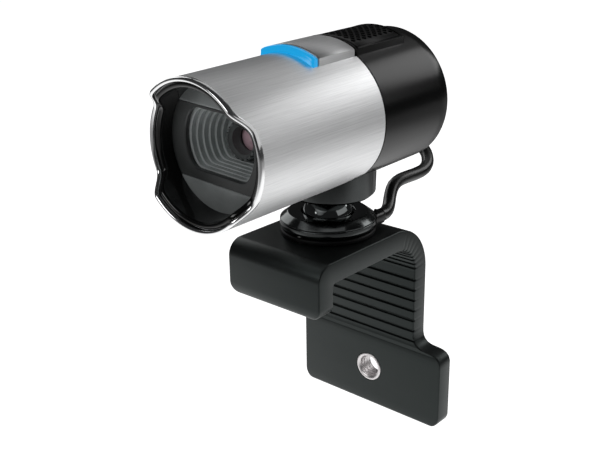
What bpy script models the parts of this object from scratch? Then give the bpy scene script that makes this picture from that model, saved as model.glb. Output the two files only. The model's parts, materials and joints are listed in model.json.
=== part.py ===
"""Clip-on webcam: a ball-jointed camera head on a rubber-covered monitor clip with a tripod thread.

Metres, +Z up, the lens end towards -Y. The origin is on the swivel axis, on the underside of the
clip's top plate, where the clip rests on a monitor.
"""

import math

import bmesh
import bpy
from mathutils import Matrix, Vector

MM = 0.001
GAP = 0.3

# Clip (mm)
STRIP_HALF = 15.66
STRIP_T = 5.9
LIP_T = 5.65
LEG_T = 5.55
FRONT_Y = -22.4
REAR_Y = 24.3
LIP_DROP = 8.55
FOOT_HALF = 25.0
FOOT_BOTTOM = -55.35
FRONT_BEND = 4.4
REAR_BEND = 14.26
BEND_Y = REAR_Y - REAR_BEND
BEND_Z = STRIP_T - REAR_BEND
HOLE_Z = -43.3
INSERT_R = 4.4
INSERT_BORE = 3.05
GROOVE_Z = -29.74
GROOVE_PITCH = 3.14
GROOVE_DEPTH = 0.45

# Collar and ball (mm)
BALL_Z = 10.4
BALL_R = 6.8
POCKET_R = 9.25
POCKET_Z = 2.9
SCREW_RING = 11.1
FLANGE_R = 12.8
COLLAR_R = 12.9
COLLAR_TOP = 11.65
COLLAR_TOP_R = 10.8
COLLAR_HOLE_R = 7.25
GLAND_X = 8.9
GLAND_Z = 9.05
GLAND_TIP = 11.0

# Head, in its own frame with the origin at the ball's centre (mm)
HEAD_SWIVEL = 0.2
HEAD_LEAN = 2.9
HEAD_TILT = 1.1
AXIS_H = 28.1
SEAM = 0.8
HEAD_R = 18.15
HEAD_R_FRONT = 17.85
SLEEVE_WALL = 1.05
PETAL_LONG = 48.1
PETAL_SHORT = 44.3
PETAL_ANGLE = 36.5
PETAL_BLEND = 11.0
LINER_IN = 15.35
FACE_L = 39.2
WINDOW_RISE = 0.85
REAR_L = 27.5
NECK_R = 12.4
NECK_BOTTOM = 7.05
NECK_SPLIT = 2.9

# Bar with the light, the button and the microphone grille
BAR_HALF = 8.38
BAR_R = 19.8
LIGHT_FRONT = 16.45
LIGHT_BACK = 14.55
BUTTON_BACK = 0.6
GRILLE_BACK = 19.9

# Cord (mm)
CORD_D = 3.6
COIL_MEAN = 18.0
COIL_F = 71.4
COIL_LAT = 3.5
COIL_Z = -20.0
COIL_SLOPE = math.radians(41.5)

SEG = 28


def clear_scene():
    for obj in list(bpy.data.objects):
        bpy.data.objects.remove(obj, do_unlink=True)


def material(name, color, roughness, metallic=0.0, transmission=0.0):
    mat = bpy.data.materials.new(name)
    mat.use_nodes = True
    shader = mat.node_tree.nodes["Principled BSDF"]
    shader.inputs["Base Color"].default_value = (*color, 1.0)
    shader.inputs["Roughness"].default_value = roughness
    shader.inputs["Metallic"].default_value = metallic
    shader.inputs["Transmission Weight"].default_value = transmission
    mat.diffuse_color = (*color, 1.0)
    return mat


def finish(name, bm, mat, parent=None, smooth=35.0, hidden=False):
    """Turn a bmesh in millimetres into a named object in metres."""
    bmesh.ops.recalc_face_normals(bm, faces=bm.faces)
    bmesh.ops.scale(bm, vec=(MM, MM, MM), verts=bm.verts)
    mesh = bpy.data.meshes.new(name)
    bm.to_mesh(mesh)
    bm.free()
    obj = bpy.data.objects.new(name, mesh)
    bpy.context.collection.objects.link(obj)
    if parent is not None:
        obj.parent = parent
    if mat is not None:
        mesh.materials.append(mat)
    mesh.shade_smooth()
    mesh.set_sharp_from_angle(angle=math.radians(smooth))
    if hidden:
        obj.hide_render = True
        obj.display_type = "WIRE"
    return obj


def pivot(name, location, parent=None, rotation=(0.0, 0.0, 0.0)):
    empty = bpy.data.objects.new(name, None)
    bpy.context.collection.objects.link(empty)
    empty.location = location
    empty.rotation_euler = rotation
    empty.parent = parent
    return empty


def rings(loops, closed):
    """Skin between point loops; closed joins the last loop to the first, otherwise both ends are filled."""
    bm = bmesh.new()
    made = [[bm.verts.new(p) for p in loop] for loop in loops]
    count = len(made[0])
    pairs = list(zip(made, made[1:]))
    if closed:
        pairs.append((made[-1], made[0]))
    for first, second in pairs:
        for i in range(count):
            j = (i + 1) % count
            bm.faces.new((first[i], first[j], second[j], second[i]))
    if not closed:
        bm.faces.new(made[0])
        bm.faces.new(list(reversed(made[-1])))
    return bm


def turned(profile, place, closed=True, segments=SEG):
    """Loops of a turned body; place(radius, length, angle) gives each point."""
    loops = []
    for radius, length in profile:
        loops.append([place(radius, length, 2 * math.pi * i / segments) for i in range(segments)])
    return rings(loops, closed)


def upright(cx=0.0, cy=0.0):
    def place(radius, z, angle):
        return Vector((cx + radius * math.cos(angle), cy + radius * math.sin(angle), z))

    return place


def along_head(cx=0.0, cz=AXIS_H):
    """Length runs forwards from the seam between the sleeve and the rear housing."""

    def place(radius, length, angle):
        return Vector((cx + radius * math.cos(angle), -SEAM - length, cz + radius * math.sin(angle)))

    return place


def along_y(cx, cz):
    def place(radius, y, angle):
        return Vector((cx + radius * math.cos(angle), y, cz + radius * math.sin(angle)))

    return place


def box(x0, x1, y0, y1, z0, z1):
    bm = bmesh.new()
    bmesh.ops.create_cube(bm, size=1.0)
    bmesh.ops.scale(bm, vec=(x1 - x0, y1 - y0, z1 - z0), verts=bm.verts)
    bmesh.ops.translate(bm, vec=((x0 + x1) / 2, (y0 + y1) / 2, (z0 + z1) / 2), verts=bm.verts)
    return bm


def cut(obj, cutter, operation="DIFFERENCE"):
    mod = obj.modifiers.new(cutter.name, "BOOLEAN")
    mod.operation = operation
    mod.solver = "EXACT"
    mod.object = cutter


def bevel(obj, width, segments=2):
    mod = obj.modifiers.new("edges", "BEVEL")
    mod.width = width * MM
    mod.segments = segments
    mod.limit_method = "ANGLE"
    mod.angle_limit = math.radians(40)


def strip(stations, edge=0.7):
    """Ribbon body. Each station is the outer point, the inner point and the half width."""
    loops = []
    for outer, inner, half in stations:
        outer = Vector((0.0, *outer))
        inner = Vector((0.0, *inner))
        across = (inner - outer).normalized()
        e = min(edge, half * 0.5)
        side = Vector((1.0, 0.0, 0.0))
        loop = []
        for sx in (1, -1):
            order = ((outer, 1), (inner, -1)) if sx < 0 else ((inner, -1), (outer, 1))
            for base, inward in order:
                flat = base + side * sx * (half - e)
                mid = base + side * sx * (half - 0.3 * e) + across * inward * 0.3 * e
                wall = base + side * sx * half + across * inward * e
                if (sx > 0) == (inward < 0):
                    loop += [flat, mid, wall]
                else:
                    loop += [wall, mid, flat]
        loops.append(loop)
    return rings(loops, closed=False)


def plate_stations():
    """Lip from its free end up, round the front bend and back along the top plate."""
    found = []
    corner = 3.0
    for k in range(7):
        a = math.pi / 2 * k / 6
        z = -LIP_DROP + corner * (1 - math.cos(a))
        half = STRIP_HALF - corner * (1 - math.sin(a))
        found.append(((FRONT_Y, z), (FRONT_Y + LIP_T, z), half))
    inner_r = 1.0
    inner_y = FRONT_Y + LIP_T
    found.append(((FRONT_Y, -inner_r - 0.3), (inner_y, -inner_r - 0.3), STRIP_HALF))
    for k in range(9):
        a = math.pi / 2 * k / 8
        outer = (
            FRONT_Y + FRONT_BEND * (1 - math.cos(a)),
            STRIP_T - FRONT_BEND + FRONT_BEND * math.sin(a),
        )
        inner = (inner_y + inner_r * (1 - math.cos(a)), -inner_r + inner_r * math.sin(a))
        found.append((outer, inner, STRIP_HALF))
    for y in (-8.0, 3.0, BEND_Y - GAP / 2):
        found.append(((y, STRIP_T), (y, 0.0), STRIP_HALF))
    return found


def web_stations():
    """Quarter bend between the top plate and the leg, with the grip grooves on its inner side."""
    found = []
    inner_r = REAR_BEND - LEG_T
    start = math.degrees(GAP / 2 / REAR_BEND)
    grooves = [GROOVE_PITCH / inner_r * (k + 0.85) for k in range(4)]
    angles = {math.radians(90 - start): 0.0, math.radians(start): 0.0}
    for k in range(1, 9):
        angles[math.radians(10 * k)] = 0.0
    for g in grooves:
        for offset, depth in ((-0.045, 0.0), (0.0, GROOVE_DEPTH), (0.045, 0.0)):
            angles = {a: d for a, d in angles.items() if abs(a - g - offset) > 0.02}
            angles[g + offset] = depth
    for angle in sorted(angles, reverse=True):
        if angle > math.radians(90 - start) + 1e-6:
            continue
        radius = inner_r + angles[angle]
        c, s = math.cos(angle), math.sin(angle)
        thin = STRIP_T - LEG_T
        swell = thin * angle / (math.pi / 2)
        outer = (BEND_Y + REAR_BEND * c, BEND_Z + REAR_BEND * s)
        inner = (BEND_Y + (radius - swell) * c, BEND_Z + (radius - swell) * s)
        found.append((outer, inner, STRIP_HALF))
    return found


def leg_stations():
    """Leg with grip grooves, S-shaped shoulders and the wide foot with round corners."""
    inner_y = REAR_Y - LEG_T
    shoulder = [
        (-28.0, 15.66),
        (-29.8, 15.9),
        (-31.0, 16.7),
        (-31.75, 18.0),
        (-32.05, 19.5),
        (-32.2, 21.4),
        (-32.45, 22.9),
        (-32.95, 23.9),
        (-33.8, 24.6),
        (-35.2, FOOT_HALF),
    ]
    rows = [(BEND_Z - GAP / 2, STRIP_HALF, 0.0)]
    for k in range(7, -1, -1):
        z = GROOVE_Z + GROOVE_PITCH * k
        if z > BEND_Z - 1.0:
            z = BEND_Z - 1.0
        for dz, depth in ((0.4, 0.0), (0.0, GROOVE_DEPTH), (-0.4, 0.0)):
            rows.append((z + dz, STRIP_HALF, depth))
    rows = [row for row in rows if row[0] > -27.5]
    groove_rows = [(GROOVE_Z + 0.4, 0.0), (GROOVE_Z, GROOVE_DEPTH), (GROOVE_Z - 0.4, 0.0)]
    rows.append((shoulder[0][0], shoulder[0][1], 0.0))
    for z, depth in groove_rows:
        rows.append((z, 15.9, depth))
    for z, half in shoulder[2:]:
        rows.append((z, half, 0.0))
    corner = 3.5
    for k in range(7):
        a = math.pi / 2 * k / 6
        z = FOOT_BOTTOM + corner * (1 - math.sin(a))
        rows.append((z, FOOT_HALF - corner * (1 - math.cos(a)), 0.0))
    return [((REAR_Y, z), (inner_y + depth, z), half) for z, half, depth in rows]


def petal_length(angle):
    """Length of the hood at an angle round the head: long at the top and bottom, short at the sides."""
    fold = abs(math.degrees(math.atan2(math.sin(angle), math.cos(angle))))
    fold = min(fold, 180.0 - fold)
    t = (fold - PETAL_ANGLE) / PETAL_BLEND
    t = max(-1.0, min(1.0, t))
    blend = 0.5 + 0.5 * math.sin(t * math.pi / 2)
    return PETAL_SHORT + (PETAL_LONG - PETAL_SHORT) * blend


def head_radius(length):
    return HEAD_R + (HEAD_R_FRONT - HEAD_R) * length / PETAL_SHORT


def hood(profile, drop, segments=64):
    """Tube whose front edge follows the petals; a length of None stands for the front edge."""
    place = along_head()
    loops = []
    for radius, length, back in profile:
        loop = []
        for i in range(segments):
            angle = 2 * math.pi * i / segments
            at = petal_length(angle) - drop - back if length is None else length
            loop.append(place(radius, at, angle))
        loops.append(loop)
    return rings(loops, closed=True)


def window(radius, half, length, rise=0.0, count=36):
    """Round window cut off flat at the top and bottom, with small corner rounds; rise lifts it off the axis."""
    place = along_head()
    loop = []
    limit = math.asin(min(1.0, half / radius))
    corner = 0.12
    for i in range(count):
        angle = 2 * math.pi * (i + 0.5) / count
        x, z = radius * math.cos(angle), radius * math.sin(angle)
        if abs(z) > half:
            z = math.copysign(half, z)
            span = radius * math.cos(limit)
            fold = math.atan2(abs(math.sin(angle)), math.cos(angle))
            x = span * (1 - 2 * (fold - limit) / (math.pi - 2 * limit))
        soft = max(0.0, 1 - abs(abs(z) - half) / (corner * 10)) * max(
            0.0, 1 - abs(abs(x) - radius * math.cos(limit)) / (corner * 10)
        )
        scale = 1 - 0.05 * soft
        p = place(0.0, length, 0.0)
        loop.append(Vector((x * scale, p.y, AXIS_H + rise + z * scale)))
    return loop


def bar_block(inner, outer, front, back, half, steps=14):
    """Arched block over the head: two arcs joined by upright sides."""
    loops = []
    top = math.asin(half / outer)
    low = math.asin(half / inner)
    arc = []
    for i in range(steps + 1):
        a = math.pi / 2 - top + 2 * top * i / steps
        arc.append((outer * math.cos(a), outer * math.sin(a)))
    for i in range(steps + 1):
        a = math.pi / 2 + low - 2 * low * i / steps
        arc.append((inner * math.cos(a), inner * math.sin(a)))
    for length in (front, back):
        loops.append([Vector((x, -SEAM - length, AXIS_H + z)) for x, z in arc])
    return rings(loops, closed=False)


def screw_body(x, y, z, radius, head_h, shank_r, shank_h):
    """Pan screw standing along Z with its head down and a round drive recess."""
    profile = [
        (0.02, z + head_h + shank_h),
        (shank_r, z + head_h + shank_h),
        (shank_r, z + head_h),
        (radius, z + head_h),
        (radius, z + 0.3),
        (radius - 0.35, z),
        (0.8, z),
        (0.6, z + 0.6),
        (0.02, z + 0.6),
    ]
    return turned(profile, upright(x, y), closed=False, segments=16)


def polyline(name, points, radius, mat):
    """Round cord along a run of points, with filled ends."""
    curve = bpy.data.curves.new(name, "CURVE")
    curve.dimensions = "3D"
    curve.bevel_depth = radius * MM
    curve.bevel_resolution = 2
    curve.use_fill_caps = True
    spline = curve.splines.new("POLY")
    spline.points.add(len(points) - 1)
    for slot, point in zip(spline.points, points):
        slot.co = (*(Vector(point) * MM), 1.0)
    obj = bpy.data.objects.new(name, curve)
    bpy.context.collection.objects.link(obj)
    curve.materials.append(mat)
    return obj


def smooth_path(knots, step):
    """Evenly spaced points on a smooth curve through the knots."""
    knots = [Vector(k) for k in knots]
    fine = []
    ext = [2 * knots[0] - knots[1]] + knots + [2 * knots[-1] - knots[-2]]
    for i in range(1, len(ext) - 2):
        p0, p1, p2, p3 = ext[i - 1 : i + 3]
        for k in range(24):
            t = k / 24
            a = 2 * p1 + (p2 - p0) * t
            b = (2 * p0 - 5 * p1 + 4 * p2 - p3) * t * t
            c = (3 * p1 - p0 - 3 * p2 + p3) * t * t * t
            fine.append((a + b + c) / 2)
    fine.append(knots[-1])
    total = sum((q - p).length for p, q in zip(fine, fine[1:]))
    count = max(2, round(total / step))
    found = [fine[0]]
    run = 0.0
    for p, q in zip(fine, fine[1:]):
        d = (q - p).length
        while run + d >= total * len(found) / count and len(found) < count:
            t = (total * len(found) / count - run) / d
            found.append(p.lerp(q, t))
        run += d
    found.append(fine[-1])
    return found


def coil_point(along, across, z):
    """Point in the coil's frame: along its plane behind the clip, across it, and up."""
    x = math.cos(COIL_SLOPE) * across - math.sin(COIL_SLOPE) * along
    y = math.sin(COIL_SLOPE) * across + math.cos(COIL_SLOPE) * along
    return Vector((x, y, z))


def build():
    clear_scene()

    rubber = material("clip_rubber", (0.022, 0.024, 0.025), 0.62)
    black_gloss = material("gloss_black", (0.012, 0.013, 0.014), 0.18)
    black_satin = material("satin_black", (0.02, 0.022, 0.023), 0.36)
    alu = material("brushed_aluminium", (0.72, 0.73, 0.74), 0.34, 0.95)
    blue = material("blue_light_bar", (0.0, 0.36, 0.83), 0.12)
    face_grey = material("face_grey", (0.09, 0.1, 0.1), 0.42)
    steel = material("steel", (0.62, 0.62, 0.6), 0.28, 1.0)
    nickel = material("nickel_insert", (0.78, 0.78, 0.77), 0.3, 1.0)
    nylon = material("nylon", (0.06, 0.06, 0.06), 0.5)
    glass = material("coated_glass", (0.30, 0.12, 0.2), 0.03, 0.0, 0.6)
    pcb = material("circuit_board", (0.02, 0.16, 0.07), 0.45)
    chip = material("chip", (0.03, 0.03, 0.035), 0.3)
    copper = material("coil_copper", (0.55, 0.25, 0.1), 0.35, 1.0)
    cord_mat = material("cord_pvc", (0.016, 0.017, 0.018), 0.33)
    tongue_mat = material("plug_tongue_plastic", (0.85, 0.85, 0.83), 0.45)

    leg_pivot = pivot("leg_axis", (0.0, BEND_Y * MM, BEND_Z * MM))
    swivel = pivot("swivel_axis", (0.0, 0.0, BALL_Z * MM), None, (0.0, 0.0, math.radians(HEAD_SWIVEL)))
    lean = pivot("lean_axis", (0.0, 0.0, 0.0), swivel, (0.0, math.radians(HEAD_LEAN), 0.0))
    head = pivot("tilt_axis", (0.0, 0.0, 0.0), lean, (math.radians(HEAD_TILT), 0.0, 0.0))

    screw_holes()
    build_clip(rubber, nickel, leg_pivot)
    build_collar(black_gloss, black_satin, steel, nylon, cord_mat, swivel, lean)
    build_neck(black_satin, steel, head)
    build_hood(alu, black_gloss, face_grey, head)
    build_optics(black_satin, glass, copper, pcb, chip, head)
    build_rear(black_gloss, black_satin, alu, blue, pcb, chip, steel, head)
    build_cord(cord_mat, black_satin, steel, tongue_mat)


def screw_places():
    """Three screws round the swivel axis, one of them straight in front of it."""
    angles = [math.radians(-90 + 120 * k) for k in range(3)]
    return [(SCREW_RING * math.cos(a), SCREW_RING * math.sin(a)) for a in angles]


def screw_holes():
    """One helper that cuts the three stepped screw holes from the pieces they pass through."""
    bm = bmesh.new()
    for x, y in screw_places():
        hole = turned([(2.3, -1.0), (2.3, 2.3), (1.15, 2.3), (1.15, 9.3)], upright(x, y), False, 16)
        mesh = bpy.data.meshes.new("screw_hole")
        hole.to_mesh(mesh)
        hole.free()
        bm.from_mesh(mesh)
    finish("screw_room", bm, None, hidden=True)


def build_clip(rubber, nickel, leg_pivot):
    plate = finish("clip_plate", strip(plate_stations()), rubber)
    pocket_mesh = turned([(POCKET_R, POCKET_Z), (POCKET_R, 12.0)], upright(), False)
    pocket = finish("pocket_plate", pocket_mesh, None, hidden=True)
    cut(plate, pocket)
    cut(plate, bpy.data.objects["screw_room"])

    finish("bend_web", strip(web_stations()), rubber)

    back = Matrix.Translation(Vector((0.0, -BEND_Y, -BEND_Z)))
    leg_mesh = strip(leg_stations())
    bmesh.ops.transform(leg_mesh, matrix=back, verts=leg_mesh.verts)
    leg = finish("rear_leg", leg_mesh, rubber, leg_pivot)
    hole_mesh = turned([(INSERT_R + 0.15, 15.0), (INSERT_R + 0.15, 30.0)], along_y(0.0, HOLE_Z), False, 48)
    bmesh.ops.transform(hole_mesh, matrix=back, verts=hole_mesh.verts)
    hole = finish("hole_leg", hole_mesh, None, leg_pivot, hidden=True)
    cut(leg, hole)

    y0 = REAR_Y - LEG_T
    profile = [
        (INSERT_R, y0 + 0.05),
        (INSERT_R, REAR_Y - 0.35),
        (INSERT_R - 0.3, REAR_Y - 0.1),
        (INSERT_BORE + 0.5, REAR_Y - 0.1),
        (INSERT_BORE, REAR_Y - 0.6),
        (INSERT_BORE, y0 + 0.7),
        (INSERT_BORE + 0.45, y0 - 0.1),
        (INSERT_R - 0.35, y0 - 0.1),
    ]
    insert_mesh = turned(profile, along_y(0.0, HOLE_Z), True, 36)
    bmesh.ops.transform(insert_mesh, matrix=back, verts=insert_mesh.verts)
    finish("tripod_insert", insert_mesh, nickel, leg_pivot)


def build_collar(gloss, satin, steel, nylon, cord_mat, swivel, lean):
    screw_room = bpy.data.objects["screw_room"]
    z0 = STRIP_T + 0.3
    flange = [
        (9.4, z0),
        (FLANGE_R - 0.25, z0),
        (FLANGE_R, z0 + 0.25),
        (FLANGE_R, z0 + 0.85),
        (FLANGE_R - 0.4, z0 + 1.1),
        (9.4, z0 + 1.1),
    ]
    flange_obj = finish("flange_disc", turned(flange, upright()), satin)
    cut(flange_obj, screw_room)

    top = z0 + 1.4
    cup = [
        (9.55, top),
        (COLLAR_R - 0.9, top),
        (COLLAR_R - 0.25, top + 0.3),
        (COLLAR_R, top + 0.9),
        (COLLAR_R - 0.1, 9.65),
        (9.55, 9.65),
    ]
    cup_obj = finish("collar_cup", turned(cup, upright()), gloss)
    cut(cup_obj, screw_room)

    cap = [
        (COLLAR_HOLE_R + 1.9, 9.95),
        (COLLAR_R - 0.3, 9.95),
        (COLLAR_R - 0.1, 10.15),
        (COLLAR_TOP_R, COLLAR_TOP - 0.1),
        (COLLAR_TOP_R - 0.2, COLLAR_TOP),
        (COLLAR_HOLE_R + 0.25, COLLAR_TOP),
        (COLLAR_HOLE_R, COLLAR_TOP - 0.25),
        (COLLAR_HOLE_R, 11.0),
        (COLLAR_HOLE_R + 1.9, 11.0),
    ]
    finish("collar_cap", turned(cap, upright()), gloss)

    washer = [(5.2, POCKET_Z + 0.3), (8.6, POCKET_Z + 0.3), (8.6, POCKET_Z + 0.7), (5.2, POCKET_Z + 0.7)]
    finish("friction_washer", turned(washer, upright(), True, 32), steel)

    hollow = BALL_R + 0.25
    inner = []
    for degrees in range(-50, 6, 9):
        a = math.radians(degrees)
        inner.append((hollow * math.cos(a), hollow * math.sin(a)))
    low = inner[0][1]
    socket = [(8.95, low), (8.95, 0.15)] + list(reversed(inner))
    finish("socket_cup", turned(socket, upright(), True, 24), nylon, swivel)

    ball = [(0.02, -BALL_R + 0.7)]
    flat = math.degrees(math.acos((BALL_R - 0.7) / BALL_R))
    for k in range(11):
        a = math.radians(-90 + flat + (180 - flat) * k / 10)
        ball.append((max(BALL_R * math.cos(a), 0.02), BALL_R * math.sin(a)))
    finish("ball", turned(ball, upright(), False, 24), gloss, lean, smooth=30)

    for number, (x, y) in enumerate(screw_places(), 1):
        finish(f"clip_screw_{number}", screw_body(x, y, 0.7, 2.0, 1.3, 0.95, 7.0), steel)

    boss = []
    for y, half, low, high in (
        (6.2, 2.35, 7.2, 10.9),
        (GLAND_TIP - 1.0, 2.35, 7.2, 10.9),
        (GLAND_TIP - 0.35, 2.2, 7.3, 10.8),
        (GLAND_TIP, 1.95, 7.5, 10.6),
    ):
        loop = []
        for i in range(20):
            t = 2 * math.pi * i / 20
            c, s = math.cos(t), math.sin(t)
            power = 0.6
            x = GLAND_X + math.copysign(abs(c) ** power, c) * half
            z = (low + high) / 2 + math.copysign(abs(s) ** power, s) * (high - low) / 2
            loop.append(Vector((x, y, z)))
        boss.append(loop)
    gland = finish("cable_gland", rings(boss, False), satin)
    room_mesh = turned([(COLLAR_R + 0.25, 5.0), (COLLAR_R + 0.25, 20.0)], upright(), False)
    room = finish("cup_room", room_mesh, None, hidden=True)
    cut(gland, room)


def build_neck(satin, steel, head):
    def half_neck(name, keep_front):
        outer = []
        for z, r in ((NECK_BOTTOM, NECK_R - 0.6), (NECK_BOTTOM + 0.6, NECK_R), (AXIS_H, NECK_R)):
            outer.append((r, z))
        inner = [(9.9, AXIS_H), (9.9, NECK_BOTTOM + 1.5), (3.6, NECK_BOTTOM + 1.5), (3.6, NECK_BOTTOM)]
        obj = finish(name, turned(outer + inner, upright()), satin, head)
        saddle_mesh = turned([(HEAD_R + 0.3, -60), (HEAD_R + 0.3, 60)], along_head(), False, 64)
        saddle = finish(name + "_saddle", saddle_mesh, None, head, hidden=True)
        y0, y1 = (NECK_SPLIT - 0.12, 40.0) if keep_front else (-40.0, NECK_SPLIT + 0.12)
        half = finish(name + "_half", box(-40, 40, y0, y1, -5, 60), None, head, hidden=True)
        cut(obj, saddle)
        cut(obj, half)
        return obj

    half_neck("neck_front", True)
    half_neck("neck_rear", False)

    stem = [
        (0.02, BALL_R + 0.25),
        (2.9, BALL_R + 0.25),
        (3.25, BALL_R + 0.5),
        (3.25, NECK_BOTTOM + 1.8),
        (6.0, NECK_BOTTOM + 1.8),
        (6.0, NECK_BOTTOM + 2.4),
        (0.02, NECK_BOTTOM + 2.4),
    ]
    finish("ball_stem", turned(stem, upright(), False, 40), satin, head)


def build_hood(alu, gloss, grey, head):
    r_in = HEAD_R - SLEEVE_WALL
    rf_in = HEAD_R_FRONT - SLEEVE_WALL
    sleeve = [
        (HEAD_R, 0.15, 0.0),
        (head_radius(20.0), 20.0, 0.0),
        (HEAD_R_FRONT, None, 0.45),
        (HEAD_R_FRONT - 0.4, None, 0.0),
        (rf_in + 0.05, None, 0.15),
        (rf_in, 20.0, 0.0),
        (r_in, 0.15, 0.0),
    ]
    sleeve_obj = finish("front_sleeve", hood(sleeve, 0.0), alu, head)
    slot = finish(
        "slot_sleeve",
        box(-BAR_HALF - 0.15, BAR_HALF + 0.15, -SEAM - LIGHT_FRONT - 0.15, 20.0, AXIS_H + 4, AXIS_H + 30),
        None,
        head,
        hidden=True,
    )
    cut(sleeve_obj, slot)

    liner = [
        (rf_in - 0.25, 30.0, 0.0),
        (rf_in - 0.25, None, 0.3),
        (rf_in - 0.55, None, 0.0),
        (LINER_IN + 0.35, None, 0.25),
        (LINER_IN, None, 0.7),
        (LINER_IN, FACE_L + 0.2, 0.0),
        (LINER_IN + 0.8, FACE_L + 0.2, 0.0),
        (LINER_IN + 0.8, 30.0, 0.0),
    ]
    finish("hood_liner", hood(liner, 0.8), gloss, head)

    plate_r = LINER_IN + 0.5
    front, back = FACE_L, FACE_L - 1.2
    loops = [
        window(plate_r, 8.85, front),
        window(11.05, 7.45, front, WINDOW_RISE),
        window(11.05, 7.45, back, WINDOW_RISE),
        window(plate_r, 8.85, back),
    ]
    finish("face_frame", rings(loops, True), grey, head)

    for name, sign in (("face_blank_top", 1), ("face_blank_bottom", -1)):
        loops = []
        for length in (front + 0.15, back):
            loop = []
            limit = math.asin(9.1 / plate_r)
            for i in range(21):
                a = limit + (math.pi - 2 * limit) * i / 20
                loop.append(
                    Vector((plate_r * math.cos(a), -SEAM - length, AXIS_H + sign * plate_r * math.sin(a)))
                )
            loops.append(loop)
        finish(name, rings(loops, False), grey, head)

    count = 6
    inner = []
    for i in range(1, count + 1):
        radius = 11.05 - 0.64 * i
        half = 7.4 - 0.37 * i
        rise = WINDOW_RISE * (1 - i / count)
        inner.append(window(radius, half, back - 0.25 - 1.5 * (i - 1), rise))
        inner.append(window(radius, half, back - 0.25 - 1.5 * i, rise))
    floor = back - 0.25 - 1.5 * count
    inner.append(window(5.3, 5.4, floor))
    inner.append(window(5.3, 5.4, floor - 1.0))
    steps = [window(12.6, 9.4, back - 0.25)] + inner + [window(12.6, 9.4, floor - 1.0)]
    finish("rib_funnel", rings(steps, True), grey, head)


def build_optics(satin, glass, copper, pcb, chip, head):
    focus = pivot("focus_axis", (0.0, -SEAM * MM, AXIS_H * MM), head)
    back = Matrix.Translation(Vector((0.0, SEAM, -AXIS_H)))

    def on_focus(name, profile, mat, closed=True):
        bm = turned(profile, along_head(), closed, 32)
        bmesh.ops.transform(bm, matrix=back, verts=bm.verts)
        return finish(name, bm, mat, focus)

    on_focus(
        "lens_barrel",
        [
            (4.8, 21.5),
            (4.8, 31.8),
            (4.5, 32.1),
            (4.1, 32.1),
            (3.9, 31.6),
            (3.3, 31.4),
            (3.2, 29.7),
            (2.95, 29.4),
            (2.95, 29.25),
            (3.4, 29.0),
            (3.4, 21.5),
        ],
        satin,
    )
    on_focus(
        "lens_glass",
        [(0.02, 29.0), (1.2, 28.95), (2.2, 28.8), (3.1, 28.5), (3.1, 27.2), (0.02, 26.8)][::-1],
        glass,
        closed=False,
    )
    place = along_head()
    holder = [(5.3, 19.0), (9.0, 19.0), (9.0, 26.9), (5.3, 26.9)]
    finish("focus_coil", turned(holder, place, True, 32), copper, head)
    finish("sensor_board", box(-11.0, 11.0, -SEAM - 17.6, -SEAM - 16.4, AXIS_H - 9, AXIS_H + 9), pcb, head)
    finish("image_sensor", box(-3.6, 3.6, -SEAM - 19.2, -SEAM - 17.9, AXIS_H - 2.8, AXIS_H + 2.8), chip, head)
    carrier = [(9.6, 18.2), (16.2, 18.2), (16.2, 29.2), (14.9, 29.2), (14.9, 20.0), (9.6, 20.0)]
    finish("lens_carrier", turned(carrier, place, True, 36), satin, head)


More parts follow.
